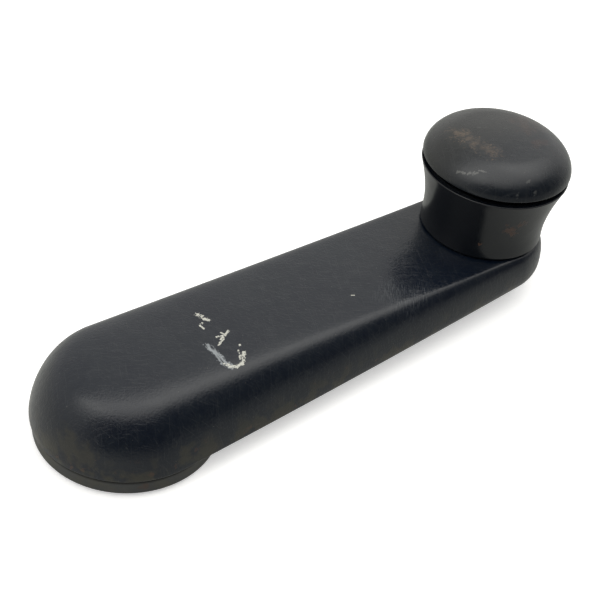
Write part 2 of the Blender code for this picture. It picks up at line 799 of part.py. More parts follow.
def make_knob_body(axis):
    side = [(sleeve_radius(share), FOOT_Z + share * SLEEVE_HEIGHT) for share in spread(0, 1, SLEEVE_LEVELS)]
    side[0] = (side[0][0], FOOT_Z + EDGE)
    side[-1] = (side[-1][0], SLEEVE_TOP - EDGE)
    profile = [(FOOT_R - EDGE, FOOT_Z)]
    profile += side
    profile += [
        (KNOB_R - EDGE, SLEEVE_TOP),
        (LIP_R, SLEEVE_TOP),
        (LIP_R, LIP_LOW),
        (CAVITY_R, LIP_LOW),
        (CAVITY_R, CAVITY_FLOOR),
        (TUBE_R, CAVITY_FLOOR),
        (TUBE_R, TUBE_TOP),
        (TUBE_BORE_R, TUBE_TOP),
        (TUBE_BORE_R, UNDERCUT_Z),
        (UNDERCUT_R, UNDERCUT_Z),
        (UNDERCUT_R, FOOT_Z),
    ]
    piece("knob_body", turned(profile, FINE_STEPS), KNOB_PLASTIC, axis)


def make_knob_bush(axis):
    flange_low = TUBE_TOP + GAP
    flange_high = flange_low + BUSH_FLANGE_THICK
    profile = [
        (BUSH_BORE_R, UNDERCUT_Z),
        (BUSH_R, UNDERCUT_Z),
        (BUSH_R, flange_low),
        (BUSH_FLANGE_R, flange_low),
        (BUSH_FLANGE_R, flange_high),
        (BUSH_BORE_R, flange_high),
    ]
    piece("knob_bush", turned(profile, SMALL_STEPS), ACETAL, axis)


def cap_point(turn):
    """A point of the cap's outside, from its widest rim (turn 0) to the edge of its flat middle (turn 1)."""
    radius = KNOB_R - CAP_EDGE_ACROSS * (1 - math.cos(turn * QUARTER))
    return radius, cap_height(radius, math.sin(turn * QUARTER))


def cap_height(radius, rise):
    crown = CAP_CROWN * (1 - (radius / KNOB_R) ** 2)
    return CAP_LOW + CAP_RIM + CAP_EDGE_HIGH * rise + crown


def make_knob_cap(axis):
    skirt_r = LIP_R - GAP
    bead_high = LIP_LOW - GAP
    ceiling = cap_height(0, 1) - WALL
    profile = [(0, cap_height(0, 1)), (CAP_EDGE_ACROSS / 2, cap_height(CAP_EDGE_ACROSS / 2, 1))]
    profile += [cap_point(turn) for turn in spread(1, 0, CAP_LEVELS)]
    profile += [
        (CAP_LOW_R, CAP_LOW),
        (CAP_NECK_R, CAP_LOW),
        (CAP_NECK_R, SLEEVE_TOP + GAP),
        (skirt_r, SLEEVE_TOP + GAP),
        (skirt_r, bead_high),
        (BEAD_R, bead_high - BEAD_LEAD),
        (BEAD_R, bead_high - BEAD_LOW),
        (skirt_r - GAP, bead_high - SKIRT_DEEP),
        (SKIRT_INNER_R, bead_high - SKIRT_DEEP),
        (SKIRT_INNER_R, ceiling - CAP_DISH - CAP_FILLET_HIGH),
        (SKIRT_INNER_R - CAP_FILLET_ACROSS, ceiling - CAP_DISH),
        (0, ceiling),
    ]
    piece("knob_cap", turned(profile, FINE_STEPS), CAP_PLASTIC, axis)


def main():
    for obj in list(bpy.data.objects):
        bpy.data.objects.remove(obj)
    door_plane = new_empty("door_plane", (0, 0, -SOCKET_FLOOR))
    make_trim_washer(door_plane)
    make_lock_ring(door_plane)
    make_retaining_clip(door_plane)
    make_arm_shell(door_plane)
    make_arm_core(door_plane)
    make_underside_cover(door_plane)
    make_splined_hub(door_plane)
    make_rivets(door_plane)
    make_screws(door_plane)
    axis = new_empty("knob_axis", (THROW, 0, SEAT_Z), TILT, door_plane)
    make_knob_spindle(axis)
    make_washers_and_clip(axis)
    make_knob_body(axis)
    make_knob_bush(axis)
    make_knob_cap(axis)


main()
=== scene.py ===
"""Looks of the window winder crank: fine meshes, worn plastics and metals, floor, light and camera.

Each piece is built finely where its plain CAD node stands, and rides on that node's body. Shapes are
modelled in millimetres in one of two frames. DOOR has z = 0 on the door trim, under the middle of the hub.
KNOB has z = 0 on the arm's top and Z along the knob's axis.
"""

import json
import math

import bmesh
import bpy
from mathutils import Matrix, Vector


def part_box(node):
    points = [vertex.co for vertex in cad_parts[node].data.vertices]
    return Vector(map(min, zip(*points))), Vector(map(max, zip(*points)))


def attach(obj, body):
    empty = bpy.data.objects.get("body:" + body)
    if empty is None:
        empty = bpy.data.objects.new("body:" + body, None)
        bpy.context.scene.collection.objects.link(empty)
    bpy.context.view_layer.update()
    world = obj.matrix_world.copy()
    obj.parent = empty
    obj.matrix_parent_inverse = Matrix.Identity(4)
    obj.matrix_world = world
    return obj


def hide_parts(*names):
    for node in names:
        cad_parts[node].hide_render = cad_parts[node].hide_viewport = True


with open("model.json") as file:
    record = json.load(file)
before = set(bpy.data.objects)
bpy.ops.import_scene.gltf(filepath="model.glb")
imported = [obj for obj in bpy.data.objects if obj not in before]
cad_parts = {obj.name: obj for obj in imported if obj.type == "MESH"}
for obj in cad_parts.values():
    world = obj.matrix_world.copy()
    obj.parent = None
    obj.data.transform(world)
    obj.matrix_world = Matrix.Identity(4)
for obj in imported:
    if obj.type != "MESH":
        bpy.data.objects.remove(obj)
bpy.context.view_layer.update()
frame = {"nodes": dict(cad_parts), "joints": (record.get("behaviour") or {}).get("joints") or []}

# One millimetre in metres, the distance in millimetres at which points merge, and two angles
MM = 0.001
WELD = 0.001
QUARTER = math.pi / 2
FULL = 2 * math.pi


# The two frames and the sizes that the CAD nodes give


def knob_frame():
    joint = next(joint for joint in frame["joints"] if joint["name"] == "knob_spin")
    axis = Vector(joint["axis"])
    return Matrix.Translation(joint["pos_m"]) @ Matrix.Rotation(math.atan2(axis.x, axis.z), 4, "Y")


DOOR = Matrix.Translation((0, 0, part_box("trim_washer")[0].z))
KNOB = knob_frame()


def extent(node, place):
    """Lowest and highest corners of a CAD node, in millimetres of one of the two frames."""
    to_place = place.inverted()
    points = [to_place @ vertex.co / MM for vertex in frame["nodes"][node].data.vertices]
    return Vector(map(min, zip(*points))), Vector(map(max, zip(*points)))


arm_low, arm_high = extent("arm_shell", DOOR)
core_low, core_high = extent("arm_core", DOOR)
hub_low, hub_high = extent("splined_hub", DOOR)
washer_low, washer_high = extent("trim_washer", DOOR)
ring_low, ring_high = extent("lock_ring", DOOR)
clip_low, clip_high = extent("retaining_clip", DOOR)
cover_low = extent("underside_cover", DOOR)[0]
body_low, body_high = extent("knob_body", KNOB)
cap_low = extent("knob_cap", KNOB)[0]
spindle_low, spindle_high = extent("knob_spindle", KNOB)
thrust_low, thrust_high = extent("thrust_washer", KNOB)
bush_low, bush_high = extent("knob_bush", KNOB)
wave_low, wave_high = extent("wave_washer", KNOB)
circlip_low, circlip_high = extent("spindle_clip", KNOB)

seat = DOOR.inverted() @ KNOB.translation / MM

# Sizes are in millimetres, and names that end in _R are radii. First the gap between pieces, and how far a
# cutting shape reaches past what it cuts.
GAP = 0.3
BEYOND = 1.0

# Rounded edges: their steps, and the angle from which an edge is rounded
EDGE_STEPS = 3
EDGE_ANGLE = math.radians(38)

# Arm
THROW = seat.x
SEAT_Z = seat.z
TOP_SLOPE = math.tan(KNOB.to_euler().y)
HUB_R = -arm_low.x
TIP_R = arm_high.x - THROW
ARM_LOW = arm_low.z
HUB_FILLET_ACROSS = 8.4
HUB_FILLET_DOWN = 14.4
HUB_FILLET_FLATNESS = 1.25
TIP_FILLET_ACROSS = 2.0
TIP_FILLET_DOWN = 5.9
FILLET_POWER = 0.8
LEAST_FILLET = 0.9
CROWN = 0.2
HUB_BULGE = 1.0
SOFTENING = 12
TOP_REACHES = (0.95, 0.9, 0.85, 0.8, 0.75, 0.7, 0.6, 0.45, 0.3, 0.15, 0)
HUB_RIM_ACROSS = 0.4
HUB_RIM_HIGH = 0.45
TIP_RIM_ACROSS = 3.0
TIP_RIM_HIGH = 4.0
INNER_RIM = 0.3
WALL = 2.2
TIP_WALL = 4.8
ROOT = 0.9

# Steel core and its slots
CORE_THICK = 2.0
CORE_TOP = core_high.z
CORE_BEND_X = 24.0
CORE_HUB_R = -core_low.x
CORE_TIP_R = core_high.x - THROW
LIGHTENING_SLOTS = ((30.0, 36.0), (54.0, 70.0))
LIGHTENING_SLOT_R = 3.5

# Splined hub, with its serrations as (share of a tooth, radius) corners
HUB_BODY_R = 9.0
HUB_CHAMFER = 0.5
HUB_FLANGE_R = hub_high.x
HUB_FLANGE_THICK = 2.5
HUB_FLANGE_TOP = CORE_TOP - CORE_THICK - GAP
HUB_FLANGE_LOW = HUB_FLANGE_TOP - HUB_FLANGE_THICK
HUB_SPIGOT_R = 7.0
SPLINE_COUNT = 20
SPLINE_ROOT_R = 5.1
SPLINE_TIP_R = 4.6
SPLINE_CORNERS = ((0.0, SPLINE_ROOT_R), (0.3, SPLINE_ROOT_R), (0.55, SPLINE_TIP_R), (0.75, SPLINE_TIP_R))
SOCKET_FLOOR = -DOOR.translation.z / MM
HUB_SLOT_INNER = 3.9
HUB_SLOT_OUTER = 7.8
HUB_SLOT_PLAY = 0.2
MOUTH_FLARE = 1.3
MOUTH_DEEP = 0.6

# Trim washer, release ring and its clip
TRIM_BORE_R = 9.5
RELEASE_TRAVEL = 5.0
RING_R = -ring_low.x
RING_LOW = ring_low.z
RING_TOP = ARM_LOW - GAP
RING_WALL = 1.8
RING_DECK = 1.4
RING_TOP_EDGE = 0.5
RING_LOW_EDGE = 0.7
RING_SLOT_HALF = 9.4
LUG_INNER_Y = 13.0
LUG_THICK = 1.6
LUG_HALF_LONG = 2.5
LUG_NOSE = 0.6
HOOK_DEPTH = 1.0
CLIP_GRIP_HALF = 4.15
CLIP_KEYHOLE_R = 5.3
CLIP_SLOT_END = -14.3
CLIP_LEAD = 0.8
PEG_X = -16.2
PEG_Y = 2.4
PEG_R = 0.7
PAD_X = -10.2
PAD_Y = 6.1
PAD_HALF = 0.6

# Fasteners
RIVET_CIRCLE_R = 10.8
RIVET_HEAD_R = 1.5
RIVET_SHANK_R = 1.0
RIVET_HEAD_HIGH = 0.8
SCREW_HEAD_R = 2.6
SCREW_HEAD_HIGH = 1.3
SCREW_CREST_R = 1.3
SCREW_ROOT_R = 0.95
SCREW_PITCH = 1.1
SCREW_CROWN = 0.6
SCREW_TAPER = 1.4
SCREW_POINT_R = 0.1
THREAD_STEP = 0.1
THREAD_SHARPNESS = 2.4
RECESS_LONG = 1.5
RECESS_HALF = 0.3
RECESS_DEEP = 0.8
SCREW_HOLE_R = 1.9
PILOT_R = 1.6
BOSS_R = 3.3
CORE_SCREWS = ((18.5, -10.0), (18.5, 10.0))
COVER_SCREWS = ((45.0, 0.0), (80.0, 0.0))

# Stiffening ribs under the arm's top
RIB_START_X = 32.0
RIB_END_X = 92.0
RIB_Y = 8.0
RIB_HALF = 0.7
RIB_LOW = -4.6

# Underside cover
COVER_LOW = cover_low.z
COVER_THICK = 1.4
COVER_START_X = cover_low.x
COVER_BOSS_R = 4.4
COUNTERBORE_R = 3.0
COUNTERBORE_DEEP = 1.8
COUNTERBORE_FLOOR = COVER_LOW + COUNTERBORE_DEEP

# Knob
FOOT_Z = body_low.z
SLEEVE_TOP = body_high.z
KNOB_R = body_high.x
FOOT_R = 15.5
WAIST_R = 15.35
WAIST_SHARE = 0.2
FLARE_POWER = 1.7
SHADOW_GAP = 1.3
CAP_LOW = SLEEVE_TOP + SHADOW_GAP
CAP_LOW_R = 17.4
CAP_RIM = 0.4
CAP_EDGE_ACROSS = 7.9
CAP_EDGE_HIGH = 5.5
CAP_CROWN = 1.75
CAP_NECK_R = 16.5
CAVITY_R = 13.2
CAVITY_FLOOR = 4.0
LIP_R = 11.6
LIP_LOW = 16.4
SKIRT_INNER_R = 9.6
SKIRT_LOW = cap_low.z
BEAD_R = 12.1
BEAD_LEAD = 0.4
BEAD_LOW = 1.0
CAP_FILLET_ACROSS = 1.2
CAP_FILLET_HIGH = 1.8
CAP_DISH = 0.4
TUBE_R = 7.0
TUBE_TOP = 8.5
TUBE_BORE_R = 4.9
UNDERCUT_R = 13.6
UNDERCUT_Z = bush_low.z
BUSH_R = 4.6
BUSH_BORE_R = 3.3
BUSH_FLANGE_LOW = TUBE_TOP + GAP
SHAFT_R = 3.0
SHAFT_HOLE_R = 3.6
NECK_R = 2.2
NECK_HOLE_R = 2.5
SHOULDER_R = spindle_high.x
SHOULDER_THICK = 1.2
SPINDLE_HEAD_R = 3.6
SPINDLE_CHAMFER = 0.4
SPINDLE_HEAD_CHAMFER = 1.0
THRUST_BORE_R = 3.4
WAVE_THICK = 0.3
WAVE_RISE = 0.2
WAVES = 3
GROOVE_LOW = 10.55
GROOVE_HIGH = 11.85
CIRCLIP_OPENING = 0.42

# Fineness: steps around a full circle, then steps along parts of an outline
FINE = 192
ROUND = 96
SMALL = 48
HUB_STEPS = 104
SIDE_STEPS = 44
TIP_STEPS = 64
FILLET_STEPS = 26
RIM_STEPS = 9
SLEEVE_STEPS = 48
CAP_TOP_STEPS = 10
CAP_EDGE_STEPS = 36


def mix(start, end, share):
    return start + (end - start) * share


def spread(start, end, steps):
    return [mix(start, end, step / steps) for step in range(steps + 1)]


# Outlines: lists of (x, y) points that close themselves


def polar(x, radius, angle):
    """The point at an angle and a radius from (x, 0)."""
    return x + radius * math.cos(angle), radius * math.sin(angle)


def arc(x, y, radius, start, end, steps):
    return [(x + radius * math.cos(t), y + radius * math.sin(t)) for t in spread(start, end, steps)]


def circle(x, y, radius, steps=SMALL):
    return arc(x, y, radius, 0, FULL, steps)[:-1]


def rectangle(x0, x1, y0, y1):
    return [(x0, y0), (x1, y0), (x1, y1), (x0, y1)]


def stadium(x0, x1, y, radius, steps=SMALL):
    half = steps // 2
    return arc(x1, y, radius, -QUARTER, QUARTER, half) + arc(x0, y, radius, QUARTER, 3 * QUARTER, half)


def cross_outline(long, half):
    outline = []
    for quarter in range(4):
        turn = Matrix.Rotation(quarter * QUARTER, 2)
        outline += [tuple(turn @ Vector(corner)) for corner in ((long, -half), (long, half), (half, half))]
    return outline


def pill_stations(hub_radius, tip_radius, tip_x):
    """(centre x, outward direction, run) around a hub circle, a tip circle and their tangents."""
    lean = math.asin((hub_radius - tip_radius) / tip_x)
    side = QUARTER - lean
    stations = [(0.0, facing, 0.0) for facing in spread(side, FULL - side, HUB_STEPS)]
    stations += [(run * tip_x, FULL - side, run) for run in spread(0, 1, SIDE_STEPS)[1:]]
    stations += [(tip_x, facing, 1.0) for facing in spread(-side, side, TIP_STEPS)[1:]]
    stations += [(run * tip_x, side, run) for run in spread(1, 0, SIDE_STEPS)[1:-1]]
    return stations


def pill_outline(hub_radius, tip_radius, tip_x):
    outline = []
    for centre_x, facing, run in pill_stations(hub_radius, tip_radius, tip_x):
        outline.append(polar(centre_x, mix(hub_radius, tip_radius, run), facing))
    return outline


def stepped(start, *steps):
    """Profile points of cylinders stacked from height start, each a (radius, end height) step."""
    points = []
    for radius, end in steps:
        points += [(radius, start), (radius, end)]
        start = end
    return points


def washer_profile(inner, outer, low, high):
    return [(inner, low), (outer, low), (outer, high), (inner, high)]


# Solids, as bmeshes in millimetres


def closed(shape):
    bmesh.ops.remove_doubles(shape, verts=shape.verts, dist=WELD)
    bmesh.ops.recalc_face_normals(shape, faces=shape.faces)
    return shape


def turned(profile, steps=ROUND):
    """A solid of revolution about Z, from (radius, height) points that close or start and end on the axis."""
    shape = bmesh.new()
    points = [shape.verts.new((radius, 0, height)) for radius, height in profile]
    edges = [shape.edges.new(pair) for pair in zip(points, points[1:])]
    if profile[0][0] > 0:
        edges.append(shape.edges.new((points[-1], points[0])))
    bmesh.ops.spin(shape, geom=points + edges, cent=(0, 0, 0), axis=(0, 0, 1), angle=FULL, steps=steps)
    return closed(shape)


def raise_faces(shape, height):
    lifted = bmesh.ops.extrude_face_region(shape, geom=shape.faces[:])["geom"]
    points = [item for item in lifted if isinstance(item, bmesh.types.BMVert)]
    bmesh.ops.translate(shape, verts=points, vec=(0, 0, height))
    return closed(shape)


def flat_sheet(outline, height):
    sheet = bmesh.new()
    sheet.faces.new([sheet.verts.new((x, y, height)) for x, y in outline])
    return sheet


def prism(outline, low, high):
    return raise_faces(flat_sheet(outline, low), high - low)


def rod(x, y, radius, low, high, steps=SMALL):
    return prism(circle(x, y, radius, steps), low, high)


def split_sheet(sheet, x, **settings):
    """Cuts a flat sheet along the line across the arm at x."""
    everything = sheet.verts[:] + sheet.edges[:] + sheet.faces[:]
    bmesh.ops.bisect_plane(sheet, geom=everything, plane_co=(x, 0, 0), plane_no=(1, 0, 0), **settings)


def lofted(rings):
    """Bands of faces between successive closed rings with the same number of points."""
    shape = bmesh.new()
    rows = [[shape.verts.new(point) for point in ring] for ring in rings]
    for lower, upper in zip(rows, rows[1:]):
        for i in range(len(lower)):
            j = (i + 1) % len(lower)
            shape.faces.new((lower[i], lower[j], upper[j], upper[i]))
    bmesh.ops.remove_doubles(shape, verts=shape.verts, dist=WELD)
    return shape


def moved(shape, matrix):
    bmesh.ops.transform(shape, matrix=matrix, verts=shape.verts)
    return shape


# Pieces


def new_object(name, shape, place):
    mesh = bpy.data.meshes.new(name)
    bmesh.ops.scale(shape, vec=(MM, MM, MM), verts=shape.verts)
    shape.to_mesh(mesh)
    shape.free()
    mesh.shade_smooth()
    obj = bpy.data.objects.new(name, mesh)
    obj.matrix_world = place
    bpy.context.scene.collection.objects.link(obj)
    return obj


def add_boolean(obj, shapes, operation, place):
    """Joins shapes to the object, or cuts them out of it. Returns the helper objects."""
    helpers = [new_object(f"{obj.name}_{operation.lower()}", shape, place) for shape in shapes]
    for helper in helpers:
        modifier = obj.modifiers.new(operation.capitalize(), "BOOLEAN")
        modifier.operation = operation
        modifier.object = helper
    return helpers


def add_edge_round(obj, width):
    """Rounds the sharp edges, and lets the large faces rule the shading."""
    if width:
        bevel = obj.modifiers.new("Edge round", "BEVEL")
        bevel.width = width * MM
        bevel.segments = EDGE_STEPS
        bevel.angle_limit = EDGE_ANGLE
    obj.modifiers.new("Face weights", "WEIGHTED_NORMAL").keep_sharp = True


def frozen(obj, helpers):
    """Puts the result of the modifiers in the object's mesh and removes the helpers."""
    bpy.context.view_layer.update()
    evaluated = obj.evaluated_get(bpy.context.evaluated_depsgraph_get())
    mesh = bpy.data.meshes.new_from_object(evaluated)
    obj.modifiers.clear()
    obj.data = mesh
    for helper in helpers:
        bpy.data.objects.remove(helper)


def piece(node, shape, place, body, finish, edge, join=(), cut=(), cut_more=()):
    """Builds the fine piece that stands for a CAD node and rides on its body. edge is its edges' rounding."""
    obj = new_object("fine_" + node, shape, place)
    helpers = add_boolean(obj, join, "UNION", place)
    helpers += add_boolean(obj, cut, "DIFFERENCE", place)
    helpers += add_boolean(obj, cut_more, "DIFFERENCE", place)
    add_edge_round(obj, edge)
    frozen(obj, helpers)
    slot_name, material = finish
    obj.data.materials.clear()
    obj.data.materials.append(material)
    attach(obj, body)
    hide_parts(node)
    return obj


# Arm


def arm_top(x):
    return SEAT_Z + TOP_SLOPE * (THROW - x)


def core_top(x):
    return CORE_TOP - TOP_SLOPE * max(x - CORE_BEND_X, 0)


def core_bottom(x):
    return core_top(x) - CORE_THICK


def side_radius(run, inset):
    """Radius of the arm's side, or of the inner face, whose wall thickens towards the tip."""
    return mix(HUB_R, TIP_R, run) - inset * mix(1, TIP_WALL / WALL, run)


def skin_point(station, inset, turn, reach):
    """A point of the arm's skin, or of its inner face when inset by the wall.

    turn goes from 0 to 1 up the rounded shoulder, then reach goes from 1 to 0 in to the middle of the top.
    The shoulder is roundest over the hub, where the top also bulges.
    """
    centre_x, facing, run = station
    fullness = (1 - run) ** FILLET_POWER
    across = max(mix(TIP_FILLET_ACROSS, HUB_FILLET_ACROSS, fullness) - inset, LEAST_FILLET)
    down = max(mix(TIP_FILLET_DOWN, HUB_FILLET_DOWN, fullness) - inset, LEAST_FILLET)
    flatness = mix(1, HUB_FILLET_FLATNESS, fullness)
    inward = 1 - max(math.cos(turn * QUARTER), 0) ** flatness
    fall = 1 - math.sin(turn * QUARTER) ** flatness
    x, y = polar(centre_x, (side_radius(run, inset) - across * inward) * reach, facing)
    bulge = HUB_BULGE * (1 - run) ** 2 * (1 - reach**4)
    return x, y, arm_top(x) + bulge - inset - CROWN * reach**2 - down * fall


def rim_point(station, inset, rise):
    """A point of the rounded lower edge: rise goes from 0 underneath to 1 where the side is upright.

    The outside's edge grows rounder towards the tip; the inside has a small round into the wall.
    """
    centre_x, facing, run = station
    across = -INNER_RIM if inset else mix(HUB_RIM_ACROSS, TIP_RIM_ACROSS, run**2)
    high = INNER_RIM if inset else mix(HUB_RIM_HIGH, TIP_RIM_HIGH, run**2)
    out = side_radius(run, inset) - across * (1 - math.sin(rise * QUARTER))
    return *polar(centre_x, out, facing), ARM_LOW + high * (1 - math.cos(rise * QUARTER))


def skin_rings(inset):
    """Rings from the lower edge up to the line along the middle of the top."""
    stations = pill_stations(HUB_R, TIP_R, THROW)
    levels = [(turn, 1) for turn in spread(0, 1, FILLET_STEPS)]
    levels += [(1, reach) for reach in TOP_REACHES]
    rim = [[rim_point(station, inset, rise) for station in stations] for rise in spread(0, 1, RIM_STEPS)]
    return rim + softened([[skin_point(station, inset, *level) for station in stations] for level in levels])


def softened(rings):
    """Evens out the bend where the shoulder meets the top, as polishing and wear do."""
    rings = [[Vector(point) for point in ring] for ring in rings]
    for _ in range(SOFTENING):
        middle = []
        for before, here, after in zip(rings, rings[1:], rings[2:]):
            middle.append([(a + 2 * b + c) / 4 for a, b, c in zip(before, here, after)])
        rings = [rings[0], *middle, rings[-1]]
    return rings


def along_arm(shape):
    """Turns a shape modelled in the knob frame into the door frame."""
    to_door = DOOR.inverted() @ KNOB
    to_door.translation /= MM
    return moved(shape, to_door)


def build_arm_shell(finish):
    shape = closed(lofted(skin_rings(WALL)[::-1] + skin_rings(0)))
    bosses = []
    holes = [along_arm(rod(0, 0, SHAFT_HOLE_R, -2 * WALL, WALL))]
    for x, y in CORE_SCREWS + COVER_SCREWS:
        foot = core_top(x) + GAP
        ceiling = arm_top(x) - WALL
        bosses.append(rod(x, y, BOSS_R, foot, ceiling + ROOT))
        holes.append(rod(x, y, PILOT_R, foot - ROOT, ceiling + ROOT / 2))
    for rib_y in (-RIB_Y, RIB_Y):
        sides = rectangle(RIB_START_X - THROW, RIB_END_X - THROW, rib_y - RIB_HALF, rib_y + RIB_HALF)
        bosses.append(along_arm(prism(sides, RIB_LOW, ROOT - WALL)))
    piece("arm_shell", shape, DOOR, "crank", finish, edge=0, join=bosses, cut=holes)


def build_arm_core(finish):
    sheet = flat_sheet(pill_outline(CORE_HUB_R, CORE_TIP_R, THROW), CORE_TOP - CORE_THICK)
    split_sheet(sheet, CORE_BEND_X)
    plate = raise_faces(sheet, CORE_THICK)
    for point in plate.verts:
        point.co.z += core_top(point.co.x) - CORE_TOP
    low = ARM_LOW
    high = CORE_TOP + CORE_THICK
    holes = [rod(0, 0, HUB_SPIGOT_R + GAP, low, high)]
    holes += [rod(x, y, RIVET_SHANK_R + GAP, low, high) for x, y in rivet_places()]
    holes += [rod(x, y, SCREW_HOLE_R, low, high) for x, y in CORE_SCREWS + COVER_SCREWS]
    front = LUG_HALF_LONG + RELEASE_TRAVEL + GAP
    near = LUG_INNER_Y - GAP
    far = LUG_INNER_Y + LUG_THICK + GAP
    for y0, y1 in ((near, far), (-far, -near)):
        holes.append(prism(rectangle(-LUG_HALF_LONG - GAP, front, y0, y1), low, high))
    for start, end in LIGHTENING_SLOTS:
        holes.append(prism(stadium(start, end, 0, LIGHTENING_SLOT_R), low, high))
    holes.append(along_arm(rod(0, 0, NECK_HOLE_R, low - high, 0)))
    piece("arm_core", plate, DOOR, "crank", finish, edge=0.2, cut=holes)


def build_underside_cover(finish):
    outline = pill_outline(HUB_R - WALL - GAP, TIP_R - TIP_WALL - GAP, THROW)
    sheet = flat_sheet(outline, COVER_LOW)
    split_sheet(sheet, COVER_START_X, clear_inner=True)
    plate = raise_faces(sheet, COVER_THICK)
    root = COVER_LOW + COVER_THICK / 2
    posts = []
    counterbores = []
    shank_holes = []
    for x, y in COVER_SCREWS:
        posts.append(rod(x, y, COVER_BOSS_R, root, core_bottom(x + COVER_BOSS_R) - GAP))
        counterbores.append(rod(x, y, COUNTERBORE_R, COVER_LOW - BEYOND, COUNTERBORE_FLOOR))
        shank_holes.append(rod(x, y, SCREW_HOLE_R, COVER_LOW, CORE_TOP))
    cuts = {"cut": counterbores, "cut_more": shank_holes}
    piece("underside_cover", plate, DOOR, "crank", finish, edge=0.2, join=posts, **cuts)


# Hub and fasteners


def rivet_places():
    return [polar(0, RIVET_CIRCLE_R, i * FULL / 3) for i in range(3)]


def spline_outline():
    tooth = FULL / SPLINE_COUNT
    outline = []
    for i in range(SPLINE_COUNT):
        for share, radius in SPLINE_CORNERS:
            outline.append(polar(0, radius, (i + share) * tooth))
    return outline


def build_splined_hub(finish):
    steps = ((HUB_BODY_R, HUB_FLANGE_LOW), (HUB_FLANGE_R, HUB_FLANGE_TOP), (HUB_SPIGOT_R, hub_high.z))
    foot = [(0, hub_low.z), (HUB_BODY_R - HUB_CHAMFER, hub_low.z)]
    profile = foot + stepped(hub_low.z + HUB_CHAMFER, *steps) + [(0, hub_high.z)]
    across = HUB_BODY_R + BEYOND
    low = clip_low.z - HUB_SLOT_PLAY
    high = clip_high.z + HUB_SLOT_PLAY
    cuts = [prism(rectangle(-across, across, HUB_SLOT_INNER, HUB_SLOT_OUTER), low, high)]
    cuts.append(prism(rectangle(-across, across, -HUB_SLOT_OUTER, -HUB_SLOT_INNER), low, high))
    for x, y in rivet_places():
        cuts.append(rod(x, y, RIVET_SHANK_R + GAP, HUB_FLANGE_LOW - BEYOND, HUB_FLANGE_TOP + BEYOND))
    mouth_top = hub_low.z + MOUTH_DEEP
    mouth_r = SPLINE_ROOT_R + MOUTH_FLARE
    mouth = turned([(0, -BEYOND), (mouth_r, -BEYOND), (SPLINE_TIP_R, mouth_top), (0, mouth_top)])
    bores = [prism(spline_outline(), -BEYOND, SOCKET_FLOOR), mouth]
    piece("splined_hub", turned(profile), DOOR, "crank", finish, edge=0.08, cut=cuts, cut_more=bores)


def build_rivets(finish):
    low = HUB_FLANGE_LOW - GAP
    high = CORE_TOP + GAP
    turns = spread(0, QUARTER, steps=10)
    dome = [(RIVET_HEAD_R * math.cos(turn), RIVET_HEAD_HIGH * math.sin(turn)) for turn in turns]
    profile = [(radius, low - rise) for radius, rise in reversed(dome)]
    profile += [(RIVET_SHANK_R, low), (RIVET_SHANK_R, high)]
    profile += [(radius, high + rise) for radius, rise in dome]
    profile[0] = (0, low - RIVET_HEAD_HIGH)
    profile[-1] = (0, high + RIVET_HEAD_HIGH)
    for number, (x, y) in enumerate(rivet_places(), 1):
        shape = moved(turned(profile, SMALL), Matrix.Translation((x, y, 0)))
        piece(f"hub_rivet_{number}", shape, DOOR, "crank", finish, edge=0.05)


def thread_radius(point, base):
    """Radius of a thread-forming screw's shank at a point on it: sharp crests on a plain root."""
    phase = ((point.z - base) / SCREW_PITCH - math.atan2(point.y, point.x) / FULL) % 1
    crest = max(0, 1 - abs(2 * phase - 1) * THREAD_SHARPNESS)
    return mix(SCREW_ROOT_R, SCREW_CREST_R, crest)


def build_screw(node, x, y, head_seat, finish):
    """A pan-head screw that points up into the shell's boss, with its head's flat side at head_seat."""
    low = head_seat - SCREW_HEAD_HIGH
    tip = arm_top(x) - WALL
    thread_end = tip - SCREW_TAPER
    profile = [(0, low)]
    for turn in spread(0, QUARTER, steps=8):
        inward = SCREW_CROWN * (1 - math.sin(turn))
        profile.append((SCREW_HEAD_R - inward, low + SCREW_CROWN * (1 - math.cos(turn))))
    profile += [(SCREW_HEAD_R, head_seat), (SCREW_CREST_R, head_seat)]
    levels = round((thread_end - head_seat) / THREAD_STEP)
    profile += [(SCREW_CREST_R, z) for z in spread(head_seat + THREAD_STEP, thread_end, levels)]
    for share in (0.75, 0.5, 0.25):
        profile.append((SCREW_ROOT_R * share + SCREW_POINT_R, tip - SCREW_TAPER * share))
    profile.append((0, tip))
    shape = turned(profile, SMALL)
    for point in shape.verts:
        if head_seat + THREAD_STEP / 2 < point.co.z < thread_end + THREAD_STEP / 2:
            shrink = thread_radius(point.co, head_seat) / SCREW_CREST_R
            point.co.x *= shrink
            point.co.y *= shrink
    recess = prism(cross_outline(RECESS_LONG, RECESS_HALF), low - BEYOND, low + RECESS_DEEP)
    to_place = Matrix.Translation((x, y, 0))
    cuts = [moved(recess, to_place)]
    piece(node, moved(shape, to_place), DOOR, "crank", finish, edge=0.04, cut=cuts)


def build_screws(finish):
    for number, (x, y) in enumerate(CORE_SCREWS, 1):
        build_screw(f"core_screw_{number}", x, y, core_bottom(x) - GAP, finish)
    for number, (x, y) in enumerate(COVER_SCREWS, 1):
        build_screw(f"cover_screw_{number}", x, y, COUNTERBORE_FLOOR - GAP, finish)


# Release ring, its clip and the trim washer


def build_trim_washer(finish):
    profile = washer_profile(TRIM_BORE_R, washer_high.x, washer_low.z, washer_high.z)
    piece("trim_washer", turned(profile), DOOR, "door_side", finish, edge=0.15)


